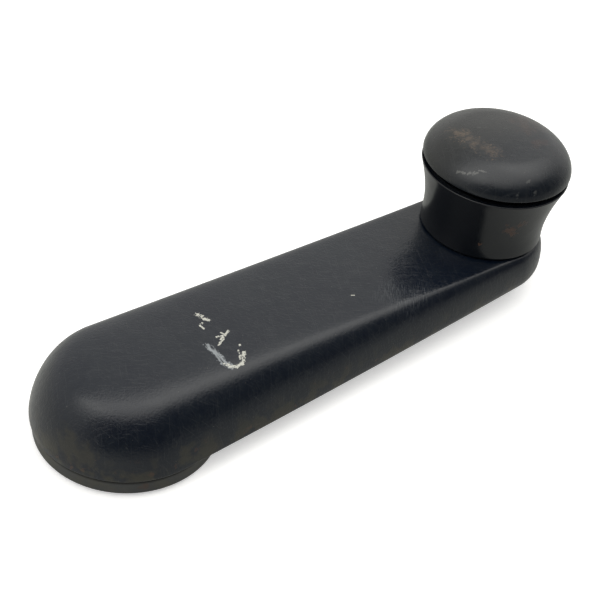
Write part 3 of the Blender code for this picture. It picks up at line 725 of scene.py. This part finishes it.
def lug(side):
    """A leg with a hook that faces the hub and rests over the core: drawn in (y, z), extruded along x."""
    foot = RING_TOP - RING_DECK / 2
    outer = LUG_INNER_Y + LUG_THICK
    catch = CORE_TOP + GAP
    crest = ring_high.z
    profile = [
        (LUG_INNER_Y, foot),
        (outer, foot),
        (outer, crest),
        (LUG_INNER_Y + LUG_NOSE, crest),
        (LUG_INNER_Y - HOOK_DEPTH, catch + LUG_NOSE),
        (LUG_INNER_Y - HOOK_DEPTH, catch),
        (LUG_INNER_Y, catch),
    ]
    stand = Matrix(((0, 0, 1, 0), (side, 0, 0, 0), (0, 1, 0, 0), (0, 0, 0, 1)))
    return closed(moved(prism(profile, -LUG_HALF_LONG, LUG_HALF_LONG), stand))


def build_lock_ring(finish):
    inner = RING_R - RING_WALL
    deck_low = RING_TOP - RING_DECK
    profile = [(0, deck_low), (inner, deck_low), (inner, RING_LOW)]
    profile += arc(RING_R - RING_LOW_EDGE, RING_LOW + RING_LOW_EDGE, RING_LOW_EDGE, -QUARTER, 0, steps=6)
    profile += arc(RING_R - RING_TOP_EDGE, RING_TOP - RING_TOP_EDGE, RING_TOP_EDGE, 0, QUARTER, steps=6)
    profile.append((0, RING_TOP))
    foot = RING_TOP - RING_DECK / 2
    extras = [lug(-1), lug(1)]
    for side in (-1, 1):
        extras.append(rod(PEG_X, side * PEG_Y, PEG_R, foot, clip_high.z + GAP, SMALL // 2))
        pad_y = side * PAD_Y
        sides = rectangle(PEG_X - PAD_HALF, PAD_X, pad_y - PAD_HALF, pad_y + PAD_HALF)
        extras.append(prism(sides, foot, clip_low.z - GAP))
    slot = prism(stadium(-RELEASE_TRAVEL, 0, 0, RING_SLOT_HALF, FINE), RING_LOW, clip_low.z)
    piece("lock_ring", turned(profile, FINE), DOOR, "lock", finish, edge=0.22, join=extras, cut=[slot])


def build_retaining_clip(finish):
    """A flat U whose sides grip the shaft's groove; pushed along +X its keyhole frees the shaft."""
    meet = math.asin(CLIP_GRIP_HALF / CLIP_KEYHOLE_R)
    front = clip_high.x
    half = clip_high.y
    inner = [(front, CLIP_GRIP_HALF + CLIP_LEAD), (front - 2 * CLIP_LEAD, CLIP_GRIP_HALF)]
    inner += arc(-RELEASE_TRAVEL, 0, CLIP_KEYHOLE_R, meet, math.pi - meet, steps=32)
    inner += [(CLIP_SLOT_END, CLIP_GRIP_HALF)]
    outer = arc(clip_low.x + half, 0, half, 3 * QUARTER, QUARTER, steps=64)
    mirrored = [(x, -y) for x, y in reversed(inner)]
    outline = inner + mirrored + [(front, -half)] + outer + [(front, half)]
    shape = prism(outline, clip_low.z, clip_high.z)
    low = clip_low.z - BEYOND
    high = clip_high.z + BEYOND
    holes = [rod(PEG_X, side * PEG_Y, PEG_R + GAP, low, high) for side in (-1, 1)]
    piece("retaining_clip", shape, DOOR, "lock", finish, edge=0.1, cut=holes)


# Knob


def sleeve_radius(share):
    if share < WAIST_SHARE:
        return mix(WAIST_R, FOOT_R, ((WAIST_SHARE - share) / WAIST_SHARE) ** 2)
    return mix(WAIST_R, KNOB_R, ((share - WAIST_SHARE) / (1 - WAIST_SHARE)) ** FLARE_POWER)


def build_knob_spindle(finish):
    plate_high = (core_top(THROW) - SEAT_Z) / math.sqrt(1 + TOP_SLOPE**2)
    head_high = plate_high - CORE_THICK - GAP
    shoulder_low = plate_high + GAP
    steps = (
        (SPINDLE_HEAD_R, head_high),
        (NECK_R, shoulder_low),
        (SHOULDER_R, shoulder_low + SHOULDER_THICK),
        (SHAFT_R, GROOVE_LOW),
        (NECK_R, GROOVE_HIGH),
        (SHAFT_R, spindle_high.z - SPINDLE_CHAMFER),
    )
    profile = [(0, spindle_low.z), (SPINDLE_HEAD_R - SPINDLE_HEAD_CHAMFER, spindle_low.z)]
    profile += stepped(spindle_low.z + SPINDLE_CHAMFER, *steps)
    profile += [(SHAFT_R - SPINDLE_CHAMFER, spindle_high.z), (0, spindle_high.z)]
    piece("knob_spindle", turned(profile), KNOB, "crank", finish, edge=0.08)


def build_thrust_washer(finish):
    profile = washer_profile(THRUST_BORE_R, thrust_high.x, thrust_low.z, thrust_high.z)
    piece("thrust_washer", turned(profile), KNOB, "crank", finish, edge=0.12)


def build_wave_washer(finish):
    low = wave_low.z + WAVE_RISE
    shape = turned(washer_profile(THRUST_BORE_R, wave_high.x, low, low + WAVE_THICK))
    for point in shape.verts:
        point.co.z += WAVE_RISE * math.cos(WAVES * math.atan2(point.co.y, point.co.x))
    piece("wave_washer", shape, KNOB, "crank", finish, edge=0.05)


def build_spindle_clip(finish):
    outer = arc(0, 0, circlip_high.y, CIRCLIP_OPENING, FULL - CIRCLIP_OPENING, ROUND)
    inner = arc(0, 0, NECK_R + GAP, FULL - CIRCLIP_OPENING, CIRCLIP_OPENING, ROUND)
    shape = prism(outer + inner, circlip_low.z, circlip_high.z)
    piece("spindle_clip", shape, KNOB, "crank", finish, edge=0.08)


def build_knob_body(finish):
    shares = spread(0, 1, SLEEVE_STEPS)
    profile = [(sleeve_radius(share), mix(FOOT_Z, SLEEVE_TOP, share)) for share in shares]
    lip = ((LIP_R, LIP_LOW), (CAVITY_R, CAVITY_FLOOR))
    tube = ((TUBE_R, TUBE_TOP), (TUBE_BORE_R, UNDERCUT_Z), (UNDERCUT_R, FOOT_Z))
    profile += stepped(SLEEVE_TOP, *lip, *tube)
    piece("knob_body", turned(profile, FINE), KNOB, "knob", finish, edge=0.3)


def build_knob_bush(finish):
    outside = stepped(bush_low.z, (BUSH_R, BUSH_FLANGE_LOW), (bush_high.x, bush_high.z))
    profile = [(BUSH_BORE_R, bush_low.z), *outside, (BUSH_BORE_R, bush_high.z)]
    piece("knob_bush", turned(profile), KNOB, "knob", finish, edge=0.12)


def cap_height(radius, rise):
    crown = CAP_CROWN * (1 - (radius / KNOB_R) ** 2)
    return CAP_LOW + CAP_RIM + CAP_EDGE_HIGH * rise + crown


def cap_point(turn):
    """A point of the cap's outside, from its widest rim at turn 0 to the edge of its middle at turn 1."""
    radius = KNOB_R - CAP_EDGE_ACROSS * (1 - math.cos(turn * QUARTER))
    return radius, cap_height(radius, math.sin(turn * QUARTER))


def build_knob_cap(finish):
    skirt_r = LIP_R - GAP
    bead_high = LIP_LOW - GAP
    ceiling = cap_height(0, 1) - WALL
    middle = KNOB_R - CAP_EDGE_ACROSS
    profile = [(radius, cap_height(radius, 1)) for radius in spread(0, middle, CAP_TOP_STEPS)[:-1]]
    profile += [cap_point(turn) for turn in spread(1, 0, CAP_EDGE_STEPS)]
    profile.append((CAP_LOW_R, CAP_LOW))
    profile += stepped(CAP_LOW, (CAP_NECK_R, SLEEVE_TOP + GAP), (skirt_r, bead_high))
    profile += [
        (BEAD_R, bead_high - BEAD_LEAD),
        (BEAD_R, bead_high - BEAD_LOW),
        (skirt_r - GAP, SKIRT_LOW),
        (SKIRT_INNER_R, SKIRT_LOW),
        (SKIRT_INNER_R, ceiling - CAP_DISH - CAP_FILLET_HIGH),
        (SKIRT_INNER_R - CAP_FILLET_ACROSS, ceiling - CAP_DISH),
        (0, ceiling),
    ]
    piece("knob_cap", turned(profile, FINE), KNOB, "knob", finish, edge=0.18)


# Looks: node graphs, in millimetres of the piece's own coordinates. TONES are a dark and a light colour.


WHITE = (1.0, 1.0, 1.0)
SHADER_SPECULAR = 0.5

# Where noise becomes a scratch or a torn edge: thresholds and shares of a mark's size
STREAK_EDGE = 0.72
STREAK_CORE = 0.78
DOT_CORE = 0.4
STROKE_GRAIN = 0.55
STROKE_CORE = 0.5
SPOT_GRAIN = 0.7
SPOT_CORE = 0.3


class Nodes:
    """A node tree, with short names for the nodes that the looks use."""

    def __init__(self, tree):
        self.tree = tree

    def feed(self, node, inputs):
        """Sets a node's inputs to numbers, vectors or opaque colours, or links them to other nodes."""
        for name, value in inputs.items():
            socket = node.inputs[name]
            if isinstance(value, bpy.types.NodeSocket):
                self.tree.links.new(value, socket)
            else:
                socket.default_value = (*value, 1) if socket.type == "RGBA" else value

    def node(self, kind, inputs, **settings):
        made = self.tree.nodes.new(kind)
        for name, value in settings.items():
            setattr(made, name, value)
        self.feed(made, inputs)
        return made

    def source(self, kind, output):
        return self.node(kind, {}).outputs[output]

    def math(self, operation, first, second):
        return self.node("ShaderNodeMath", {0: first, 1: second}, operation=operation).outputs["Value"]

    def plus(self, first, second):
        return self.math("ADD", first, second)

    def times(self, first, second):
        return self.math("MULTIPLY", first, second)

    def most(self, values, operation="MAXIMUM"):
        """The largest of the values, or another operation that runs through all of them."""
        total, *others = values
        for value in others:
            total = self.math(operation, total, value)
        return total

    def vector(self, operation, first, second):
        """Vector arithmetic, where second is a number when the operation is SCALE."""
        inputs = {0: first, "Scale" if operation == "SCALE" else 1: second}
        gives_number = operation in ("DOT_PRODUCT", "DISTANCE")
        made = self.node("ShaderNodeVectorMath", inputs, operation=operation)
        return made.outputs["Value" if gives_number else "Vector"]

    def ramp(self, value, start, end, low=0.0, high=1.0):
        """Goes smoothly from low to high as value goes from start to end."""
        inputs = {"Value": value, "From Min": start, "From Max": end, "To Min": low, "To Max": high}
        return self.node("ShaderNodeMapRange", inputs, interpolation_type="SMOOTHSTEP").outputs["Result"]

    def colour(self, share, first, second):
        """Mixes two colours, each a tuple or a socket: the node's inputs 6 and 7 when it mixes colours."""
        return self.node("ShaderNodeMix", {0: share, 6: first, 7: second}, data_type="RGBA").outputs[2]


class Graph(Nodes):
    """One material's node tree, with the patterns and marks that the finishes use."""

    def __init__(self, name):
        self.name = name
        self.material = bpy.data.materials.new(name)
        self.material.use_nodes = True
        super().__init__(self.material.node_tree)
        self.shader = self.tree.nodes["Principled BSDF"]
        self.place = self.vector("SCALE", self.source("ShaderNodeTexCoord", "Object"), 1 / MM)

    def axis(self, name):
        return self.node("ShaderNodeSeparateXYZ", {0: self.place}).outputs[name]

    def noise(self, size, detail, stretch=(1, 1, 1), turn=0.0, shift=0.0):
        """Noise with features about size millimetres wide, stretched along axes turned about Z."""
        inputs = {"Vector": self.place, "Angle": turn}
        turned_place = self.node("ShaderNodeVectorRotate", inputs, rotation_type="Z_AXIS")
        scale = tuple(1 / (size * share) for share in stretch)
        spot = self.vector("MULTIPLY", turned_place.outputs["Vector"], scale)
        spot = self.vector("ADD", spot, (shift, shift, shift))
        return self.node("ShaderNodeTexNoise", {"Vector": spot, "Scale": 1.0, "Detail": detail}).outputs[0]

    def patches(self, start, end, size, detail, shift=0.0):
        """Mask of the noise's high places: empty at start, full at end."""
        return self.ramp(self.noise(size, detail, shift=shift), start, end)

    def dots(self, spacing, radius, share):
        """Small round specks about spacing apart; share of them are kept."""
        made = self.node("ShaderNodeTexVoronoi", {"Vector": self.place, "Scale": 1 / spacing})
        split = self.node("ShaderNodeSeparateColor", {0: made.outputs["Color"]})
        kept = self.math("LESS_THAN", split.outputs[0], share)
        round_spot = self.ramp(made.outputs["Distance"], radius / spacing, DOT_CORE * radius / spacing)
        return self.times(kept, self.times(round_spot, split.outputs[1]))

    def streaks(self, length, width, turn, share, shift=0.0):
        """Fine straight scratches: share is how much of the surface they cover."""
        lines = self.noise(1.0, 1.0, (length, width, length), turn, shift)
        return self.ramp(lines, STREAK_EDGE - share, STREAK_CORE - share)

    def torn(self, distance, edge, core, grain, detail, depth):
        """Mask that is full within core and empty past edge, with the edge broken up by noise."""
        raggedness = self.times(self.math("SUBTRACT", self.noise(grain, detail), 0.5), depth)
        return self.ramp(self.plus(distance, raggedness), edge, core)

    def stroke(self, points, width, ragged):
        """Mask of a brush stroke along (x, y) points."""
        flat = self.vector("MULTIPLY", self.place, (1, 1, 0))
        distances = []
        for start, end in zip(points, points[1:]):
            start = Vector((*start, 0))
            run = Vector((*end, 0)) - start
            from_start = self.vector("SUBTRACT", flat, tuple(start))
            along = self.vector("DOT_PRODUCT", from_start, tuple(run / run.length_squared))
            share = self.math("MINIMUM", self.math("MAXIMUM", along, 0.0), 1.0)
            foot = self.vector("SCALE", tuple(run), share)
            distances.append(self.vector("DISTANCE", from_start, foot))
        half = width / 2
        nearest = self.most(distances, "MINIMUM")
        return self.torn(nearest, half, STROKE_CORE * half, STROKE_GRAIN, 3, 2 * ragged * width)

    def spot(self, centre, radius, ragged):
        """Mask of a blotch around a point."""
        distance = self.vector("DISTANCE", self.place, centre)
        return self.torn(distance, radius, SPOT_CORE * radius, SPOT_GRAIN * radius, 4, 3 * ragged * radius)

    def strokes(self, marks):
        """Mask of several (points, width, ragged) strokes."""
        return self.most([self.stroke(*mark) for mark in marks])

    def spots(self, marks):
        """Mask of several (centre, radius, ragged) blotches."""
        return self.most([self.spot(*mark) for mark in marks])

    def stained(self, colour, *layers):
        """Lays (mask, strength, tint) layers over a colour, one after another."""
        for mask, strength, tint in layers:
            colour = self.colour(self.times(mask, strength), colour, tint)
        return colour

    def bump(self, layers):
        """Adds (height, depth in millimetres) layers to the surface."""
        below = {}
        for height, depth in layers:
            made = self.node("ShaderNodeBump", {"Height": height, "Distance": depth * MM, **below})
            below = {"Normal": made.outputs["Normal"]}
        self.surface(Coat_Normal=made.outputs["Normal"], **below)

    def surface(self, **inputs):
        self.feed(self.shader, {name.replace("_", " "): value for name, value in inputs.items()})

    def finish(self, colour, roughness):
        """Returns the slot's name and the finished material."""
        self.surface(Base_Color=colour, Roughness=roughness)
        return self.name, self.material

    def polish(self, weight, roughness):
        """Splits the sheen between the dull surface and a smoother worn skin over it."""
        left = SHADER_SPECULAR * (1 - weight)
        self.surface(Coat_Weight=weight, Coat_Roughness=roughness, Specular_IOR_Level=left)


# Moulded plastic: hairs are (length, width, turn, share, shift) scratches, dust is (spacing, radius, share)
HAIRS = ((5, 0.07, 0.5, 0.05, 0), (7, 0.09, 2.0, 0.045, 7), (3, 0.06, 1.1, 0.05, 3))
DUST = ((1.3, 0.16, 0.20), (3.1, 0.22, 0.15))
CLOUD_SHARE = 0.65
MOTTLE_SHARE = 0.35
HAIR_TINT = (0.16, 0.16, 0.16)
HAIR_DEPTH = -0.006
DUST_TINT = (0.20, 0.19, 0.17)
WAVINESS = 0.25


def worn_plastic(name, tones, roughness, grain, wear=1.0):
    """Satin moulded plastic with a patchy tone, fine grain, hair scratches and dust.

    Returns the graph, its colour and its roughness, so that each finish can add its own marks.
    """
    graph = Graph(name)
    clouds = graph.noise(size=19, detail=4)
    mottle = graph.noise(size=1.7, detail=5)
    tone = graph.plus(graph.times(clouds, CLOUD_SHARE), graph.times(mottle, MOTTLE_SHARE))
    hairs = graph.most([graph.streaks(*hair) for hair in HAIRS])
    dust = graph.most([graph.dots(*specks) for specks in DUST])
    colour = graph.colour(graph.ramp(tone, 0.36, 0.66), *tones)
    colour = graph.stained(colour, (hairs, 0.10 * wear, HAIR_TINT), (dust, 0.30 * wear, DUST_TINT))
    sheen = graph.ramp(mottle, 0.3, 0.7, roughness - 0.05 * wear, roughness + 0.05 * wear)
    rough = graph.plus(sheen, graph.times(hairs, 0.12 * wear))
    waves = graph.noise(size=14, detail=2)
    graph.bump([(waves, WAVINESS), (graph.noise(size=0.55, detail=2), grain), (hairs, HAIR_DEPTH * wear)])
    return graph, colour, rough


# Tints that several pieces share
OLIVE_DIRT = (0.034, 0.031, 0.020)
RUST = (0.078, 0.036, 0.021)
PALE_SCRATCH = (0.35, 0.35, 0.33)

# Arm. Marks are in the door frame: spots are (centre, radius, ragged), strokes are (points, width, ragged)
ARM_TONES = ((0.0024, 0.0052, 0.0122), (0.0054, 0.0090, 0.0152))
ARM_DIRT = (
    ((-19.5, -7.6, 11.8), 4.5, 0.9),
    ((-17.6, -11.9, 10.9), 3.5, 0.9),
    ((1.4, -21.3, 9.8), 3.0, 0.9),
)
PAINT_SMEAR = (((17.2, -4.8), (17.6, -6.9), (17.5, -8.2), (17.3, -10.9), (18.2, -12.2)), 1.9, 0.5)
SMEAR_TINT = (0.38, 0.41, 0.43)
PAINT_MARKS = (
    (((21.2, 4.8), (21.6, 3.9)), 1.3, 0.9),
    (((21.8, 3.0), (22.3, 2.2)), 1.0, 0.9),
    (((20.5, 1.9), (19.5, 1.7), (19.6, 0.2)), 0.5, 0.8),
    (((24.1, -3.0), (22.5, -3.7), (20.8, -4.6)), 0.7, 0.8),
    (((21.6, -4.7), (19.5, -5.7)), 0.5, 0.8),
    (((22.3, -2.8), (22.5, -3.9), (20.6, -3.3)), 0.6, 0.8),
    (((17.4, -11.2), (18.0, -12.1), (19.3, -12.9), (21.1, -12.6), (22.0, -11.6), (23.2, -10.1)), 1.0, 0.7),
    (((22.4, -9.1), (21.9, -10.4), (21.1, -11.5)), 0.4, 0.8),
    (((23.6, -8.2), (23.7, -7.8)), 0.6, 0.6),
    (((56.8, -6.3), (57.7, -6.7)), 0.35, 0.6),
)
PAINT = (0.58, 0.58, 0.52)
SCUFF_PLACE = ((68.0, -12.3, 17.5), 7.5, 0.6)
SCUFF = (0.11, 0.12, 0.13)


def arm_finish():
    graph, colour, rough = worn_plastic("arm_plastic", ARM_TONES, roughness=0.33, grain=0.048)
    low_down = graph.ramp(graph.axis("Z"), 13, 6)
    grime = graph.times(low_down, graph.patches(0.46, 0.60, size=5, detail=6, shift=4))
    rust = graph.times(low_down, graph.patches(0.62, 0.70, size=2.4, detail=4, shift=9))
    bristles = graph.ramp(graph.noise(size=1.0, detail=2, stretch=(0.5, 3, 1), turn=0.1), 0.30, 0.56)
    smear = graph.times(graph.stroke(*PAINT_SMEAR), bristles)
    paint = graph.times(graph.strokes(PAINT_MARKS), graph.patches(0.36, 0.47, size=0.5, detail=4, shift=3))
    lines = graph.streaks(length=2.4, width=0.09, turn=-0.913, share=0.16)
    scuffed = graph.times(graph.spot(*SCUFF_PLACE), lines)
    colour = graph.stained(
        colour,
        (grime, 0.85, OLIVE_DIRT),
        (graph.spots(ARM_DIRT), 0.5, OLIVE_DIRT),
        (rust, 0.5, RUST),
        (smear, 0.70, SMEAR_TINT),
        (paint, 0.92, PAINT),
        (scuffed, 0.45, SCUFF),
    )
    graph.polish(weight=0.62, roughness=0.12)
    return graph.finish(colour, graph.plus(rough, graph.times(graph.most([paint, scuffed]), 0.3)))


# Lock ring, marks in the door frame
RING_TONES = ((0.040, 0.043, 0.045), (0.060, 0.061, 0.060))
RING_GRIME = (0.066, 0.062, 0.046)
RING_RUST = ((-7.7, -19.3, 3.4), 1.6, 0.6)
# Painted shade: a near-black colour for the ring's top edge, standing in for the shade in the groove under
# the arm
PAINTED_GROOVE_SHADE = (0.003, 0.003, 0.003)


def ring_finish():
    graph, colour, rough = worn_plastic("ring_plastic", RING_TONES, roughness=0.42, grain=0.015)
    grime = graph.patches(0.40, 0.65, size=5, detail=5, shift=2)
    # Painted shade: the ring's top darkens almost to black where it meets the arm, in place of the shade that
    # falls in the groove between them
    painted_shade_by_the_arm = graph.ramp(graph.axis("Z"), RING_TOP - 1.0, RING_TOP - 0.4)
    rust = graph.spot(*RING_RUST)
    layers = ((grime, 0.6, RING_GRIME), (rust, 0.5, RUST), (painted_shade_by_the_arm, 0.95, PAINTED_GROOVE_SHADE))
    return graph.finish(graph.stained(colour, *layers), rough)


COVER_TONES = ((0.006, 0.007, 0.008), (0.014, 0.014, 0.015))


def cover_finish():
    graph, colour, rough = worn_plastic("cover_plastic", COVER_TONES, roughness=0.55, grain=0.03)
    return graph.finish(colour, rough)


# Knob body, marks in the knob frame
KNOB_TONES = ((0.0028, 0.0042, 0.0072), (0.0060, 0.0078, 0.0106))
KNOB_RUST = (
    ((-6.4, -14.4, 10.2), 1.9, 0.9),
    ((-4.0, -15.5, 11.9), 1.6, 0.9),
    ((-5.3, -14.8, 8.6), 1.3, 0.9),
)
KNOB_PIT = ((-9.2, -13.9, 14.2), 0.5, 0.6)
PIT = (0.001, 0.001, 0.001)


def knob_finish():
    graph, colour, rough = worn_plastic("knob_plastic", KNOB_TONES, roughness=0.21, grain=0.003, wear=0.2)
    flecks = graph.patches(0.74, 0.80, size=3.2, detail=4, shift=5)
    rust = graph.most([graph.spots(KNOB_RUST), flecks])
    colour = graph.stained(colour, (rust, 0.85, RUST), (graph.spot(*KNOB_PIT), 0.9, PIT))
    return graph.finish(colour, graph.plus(rough, graph.times(rust, 0.2)))


# Knob cap, marks in the knob frame
CAP_TONES = ((0.0034, 0.0062, 0.0112), (0.0076, 0.0106, 0.0148))
CAP_OLIVE = (0.024, 0.023, 0.016)
CAP_SMEAR = (((-9.2, 6.5), (-8.8, 2.4), (-8.6, -1.6), (-7.6, -4.4)), 5.0, 1.0)
CAP_SMEAR_TINT = (0.17, 0.12, 0.08)
CAP_BLOTCHES = (
    ((8.1, 0.8, 24), 5, 1),
    ((12.1, -1.1, 23), 4, 1),
    ((5.6, -8.0, 24), 4, 1),
)
CAP_BLOTCH_TINT = (0.055, 0.026, 0.019)
CAP_SCRATCHES = (
    (((-17.0, -2.8), (-16.2, -4.6)), 0.5, 1),
    (((-15.8, -5.2), (-14.4, -6.9)), 0.6, 1),
    (((-13.9, -6.6), (-12.9, -8.0)), 0.4, 1),
)
CAP_FLECKS = (
    (((-5.8, -15.0), (-5.2, -15.1)), 0.6, 1),
    (((-4.9, -17.2), (-4.4, -17.2)), 0.5, 1),
    (((-9.1, -15.6), (-8.7, -15.7)), 0.5, 1),
    (((-3.5, 5.1), (-3.1, 5.1)), 0.5, 1),
)


def cap_finish():
    graph, colour, rough = worn_plastic("cap_plastic", CAP_TONES, roughness=0.30, grain=0.020)
    broken = graph.patches(0.34, 0.66, size=2.2, detail=5, shift=8)
    colour = graph.stained(
        colour,
        (graph.ramp(graph.axis("Y"), -8, 6), 0.35, CAP_OLIVE),
        (graph.times(graph.stroke(*CAP_SMEAR), broken), 0.42, CAP_SMEAR_TINT),
        (graph.spots(CAP_BLOTCHES), 0.30, CAP_BLOTCH_TINT),
        (graph.strokes(CAP_SCRATCHES), 0.22, PALE_SCRATCH),
        (graph.strokes(CAP_FLECKS), 0.12, PALE_SCRATCH),
    )
    graph.polish(weight=0.50, roughness=0.16)
    return graph.finish(colour, rough)


OLD_GREASE = (0.10, 0.085, 0.06)


def pale_plastic(name, dark, light, roughness):
    """Natural plastic that lets some light in, with greasy smears and scuffs."""
    graph = Graph(name)
    colour = graph.colour(graph.patches(0.35, 0.65, size=5, detail=4), dark, light)
    smear = graph.ramp(graph.noise(size=1.5, detail=5, stretch=(1, 1, 0.3), turn=0.4), 0.52, 0.70)
    colour = graph.stained(colour, (smear, 0.5, OLD_GREASE))
    scuffs = graph.streaks(length=2.5, width=0.06, turn=0.9, share=0.07)
    graph.bump([(graph.noise(size=0.5, detail=3), 0.01), (scuffs, -0.005)])
    graph.surface(Subsurface_Weight=0.15, Subsurface_Scale=MM)
    return graph.finish(colour, graph.ramp(smear, 0, 1, roughness, roughness + 0.15))


def worn_metal(name, dark, light, stain, roughness, length, tarnish):
    """Metal with working marks along X, a blotchy sheen and stains of tarnish."""
    graph = Graph(name)
    marks = graph.noise(size=0.16, detail=3, stretch=(length, 1, 1))
    colour = graph.colour(graph.patches(0.35, 0.65, size=4, detail=4), dark, light)
    stains = graph.patches(0.66 - tarnish, 0.76 - tarnish, size=3, detail=5, shift=6)
    colour = graph.stained(colour, (stains, 0.8, stain))
    brushed = graph.ramp(marks, 0.3, 0.7, roughness - 0.08, roughness + 0.08)
    graph.bump([(marks, 0.006), (graph.noise(size=0.6, detail=3), 0.008)])
    graph.surface(Metallic=graph.ramp(stains, 0, 1, 1.0, 0.55))
    return graph.finish(colour, graph.plus(brushed, graph.times(stains, 0.25)))


# Metals and pale plastics: the arguments of the two functions above, colours first
PLATED_STEEL = ((0.50, 0.49, 0.43), (0.62, 0.61, 0.55), (0.16, 0.11, 0.07), 0.34, 1, 0.05)
SPRING_STEEL = ((0.14, 0.14, 0.15), (0.24, 0.24, 0.25), (0.10, 0.06, 0.035), 0.34, 9, 0.08)
PRESSED_STEEL = ((0.30, 0.30, 0.30), (0.42, 0.42, 0.41), (0.14, 0.08, 0.045), 0.42, 9, 0.12)
ZINC = ((0.36, 0.36, 0.37), (0.48, 0.48, 0.49), (0.22, 0.21, 0.20), 0.45, 1, 0.04)
NYLON = ((0.56, 0.53, 0.45), (0.66, 0.64, 0.57), 0.50)
ACETAL = ((0.46, 0.45, 0.41), (0.54, 0.53, 0.49), 0.42)


# Floor: how the camera sees it, and how the crank reflects it from right to left and from near to far
FLOOR_RADII = (4000, 500, 0)
FLOOR_TONES = ((0.84, 0.84, 0.84), (0.87, 0.87, 0.87))
FLOOR_ROUGHNESS = 0.9
REFLECTED_TONES = ((0.29, 0.30, 0.285), (0.44, 0.44, 0.41))
RIGHT_TO_LEFT_X = (10, -50)
NEAR_TO_FAR_Y = (-110, -45)
NEAR_LEVEL = 0.4
REFLECTED_GLOW = 0.12
SEEN_GLOW = 0.45


def build_floor():
    """A wide pale disc under the crank, which the camera sees through from below."""
    floor_z = DOOR.translation.z / MM
    rings = [[(x, y, floor_z) for x, y in circle(0, 0, radius, ROUND)] for radius in FLOOR_RADII]
    floor = new_object("floor", lofted(rings), Matrix())
    graph = Graph("pale_floor")
    pale = graph.colour(graph.patches(0.3, 0.7, size=40, detail=3), *FLOOR_TONES)
    reflected = graph.colour(graph.ramp(graph.axis("X"), *RIGHT_TO_LEFT_X), *REFLECTED_TONES)
    farness = graph.ramp(graph.axis("Y"), *NEAR_TO_FAR_Y, NEAR_LEVEL, 1.0)
    reflected = graph.vector("SCALE", reflected, farness)
    seen = graph.source("ShaderNodeLightPath", "Is Camera Ray")
    glow = graph.ramp(seen, 0, 1, REFLECTED_GLOW, SEEN_GLOW)
    below = graph.times(seen, graph.source("ShaderNodeNewGeometry", "Backfacing"))
    solid = graph.math("SUBTRACT", 1.0, below)
    graph.surface(Emission_Color=WHITE, Emission_Strength=glow, Alpha=solid)
    graph.finish(graph.colour(seen, reflected, pale), FLOOR_ROUGHNESS)
    floor.data.materials.append(graph.material)


# What surrounds the crank: dim on the viewer's side, a pale wall behind, a broad soft lamp overhead that ends
# above the wall, and softer (aim, edge, core, level) lamps at the sides. Heights and depths are a direction's
# Z and Y, in pairs from the start to the end of a change.
LIGHT_TINT = (1.0, 0.99, 0.955)
DIM_LEVEL = 0.09
WALL_LEVEL = 0.80
WALL_DEPTHS = (-0.75, 0.25)
WALL_FOOT_LEVEL = 0.78
WALL_FOOT_HEIGHTS = (-0.1, 0.3)
LAMP_LEVEL = 1.55
LAMP_HEIGHTS = (0.5, 0.95)
LAMP_DEPTHS = (0.5, 0.1)
SIDE_LAMPS = (
    ((-0.69, 0.05, 0.72), 0.88, 0.98, 0.55),
    ((0.63, -0.11, 0.77), 0.86, 0.97, 0.30),
)


def build_world():
    world = bpy.data.worlds.new("studio")
    world.use_nodes = True
    bpy.context.scene.world = world
    around = Nodes(world.node_tree)
    towards = around.source("ShaderNodeTexCoord", "Generated")
    height = around.vector("DOT_PRODUCT", towards, (0, 0, 1))
    depth = around.vector("DOT_PRODUCT", towards, (0, 1, 0))
    wall = around.ramp(depth, *WALL_DEPTHS, DIM_LEVEL, WALL_LEVEL)
    wall = around.times(wall, around.ramp(height, *WALL_FOOT_HEIGHTS, WALL_FOOT_LEVEL, 1.0))
    lamp = around.ramp(height, *LAMP_HEIGHTS, 0.0, LAMP_LEVEL)
    lit = around.plus(wall, around.times(lamp, around.ramp(depth, *LAMP_DEPTHS)))
    for aim, edge, core, level in SIDE_LAMPS:
        nearness = around.vector("DOT_PRODUCT", towards, aim)
        lit = around.plus(lit, around.ramp(nearness, edge, core, 0.0, level))
    seen = around.source("ShaderNodeLightPath", "Is Camera Ray")
    strength = around.math("MAXIMUM", lit, seen)
    colour = around.colour(seen, LIGHT_TINT, WHITE)
    around.feed(world.node_tree.nodes["Background"], {"Strength": strength, "Color": colour})


# The photo's camera: heading is clockwise from +Y, down is below the horizon, the lens is in millimetres
CAMERA_PLACE = Vector((-0.12155, -0.18302, 0.21706))
CAMERA_HEADING = math.radians(42.639)
CAMERA_DOWN = math.radians(40.551)
CAMERA_ROLL = math.radians(7.701)
CAMERA_LENS = 84.37
CAMERA_NEAREST = 0.01


def build_camera():
    data = bpy.data.cameras.new("camera")
    data.lens = CAMERA_LENS
    data.clip_start = CAMERA_NEAREST
    camera = bpy.data.objects.new("camera", data)
    turn = Matrix.Rotation(-CAMERA_HEADING, 4, "Z") @ Matrix.Rotation(QUARTER - CAMERA_DOWN, 4, "X")
    camera.matrix_world = Matrix.Translation(CAMERA_PLACE) @ turn @ Matrix.Rotation(CAMERA_ROLL, 4, "Z")
    bpy.context.scene.collection.objects.link(camera)
    bpy.context.scene.camera = camera


def build_pieces():
    steel = worn_metal("plated_steel", *PLATED_STEEL)
    spring = worn_metal("spring_steel", *SPRING_STEEL)
    nylon = pale_plastic("nylon_washer", *NYLON)
    build_trim_washer(nylon)
    build_lock_ring(ring_finish())
    build_retaining_clip(spring)
    build_arm_shell(arm_finish())
    build_arm_core(worn_metal("pressed_steel", *PRESSED_STEEL))
    build_underside_cover(cover_finish())
    build_splined_hub(worn_metal("zinc_die_cast", *ZINC))
    build_rivets(steel)
    build_screws(steel)
    build_knob_spindle(steel)
    build_thrust_washer(nylon)
    build_wave_washer(spring)
    build_spindle_clip(spring)
    build_knob_body(knob_finish())
    build_knob_bush(pale_plastic("acetal", *ACETAL))
    build_knob_cap(cap_finish())


build_pieces()
build_floor()
build_world()
build_camera()
bpy.context.scene.view_settings.view_transform = "Standard"
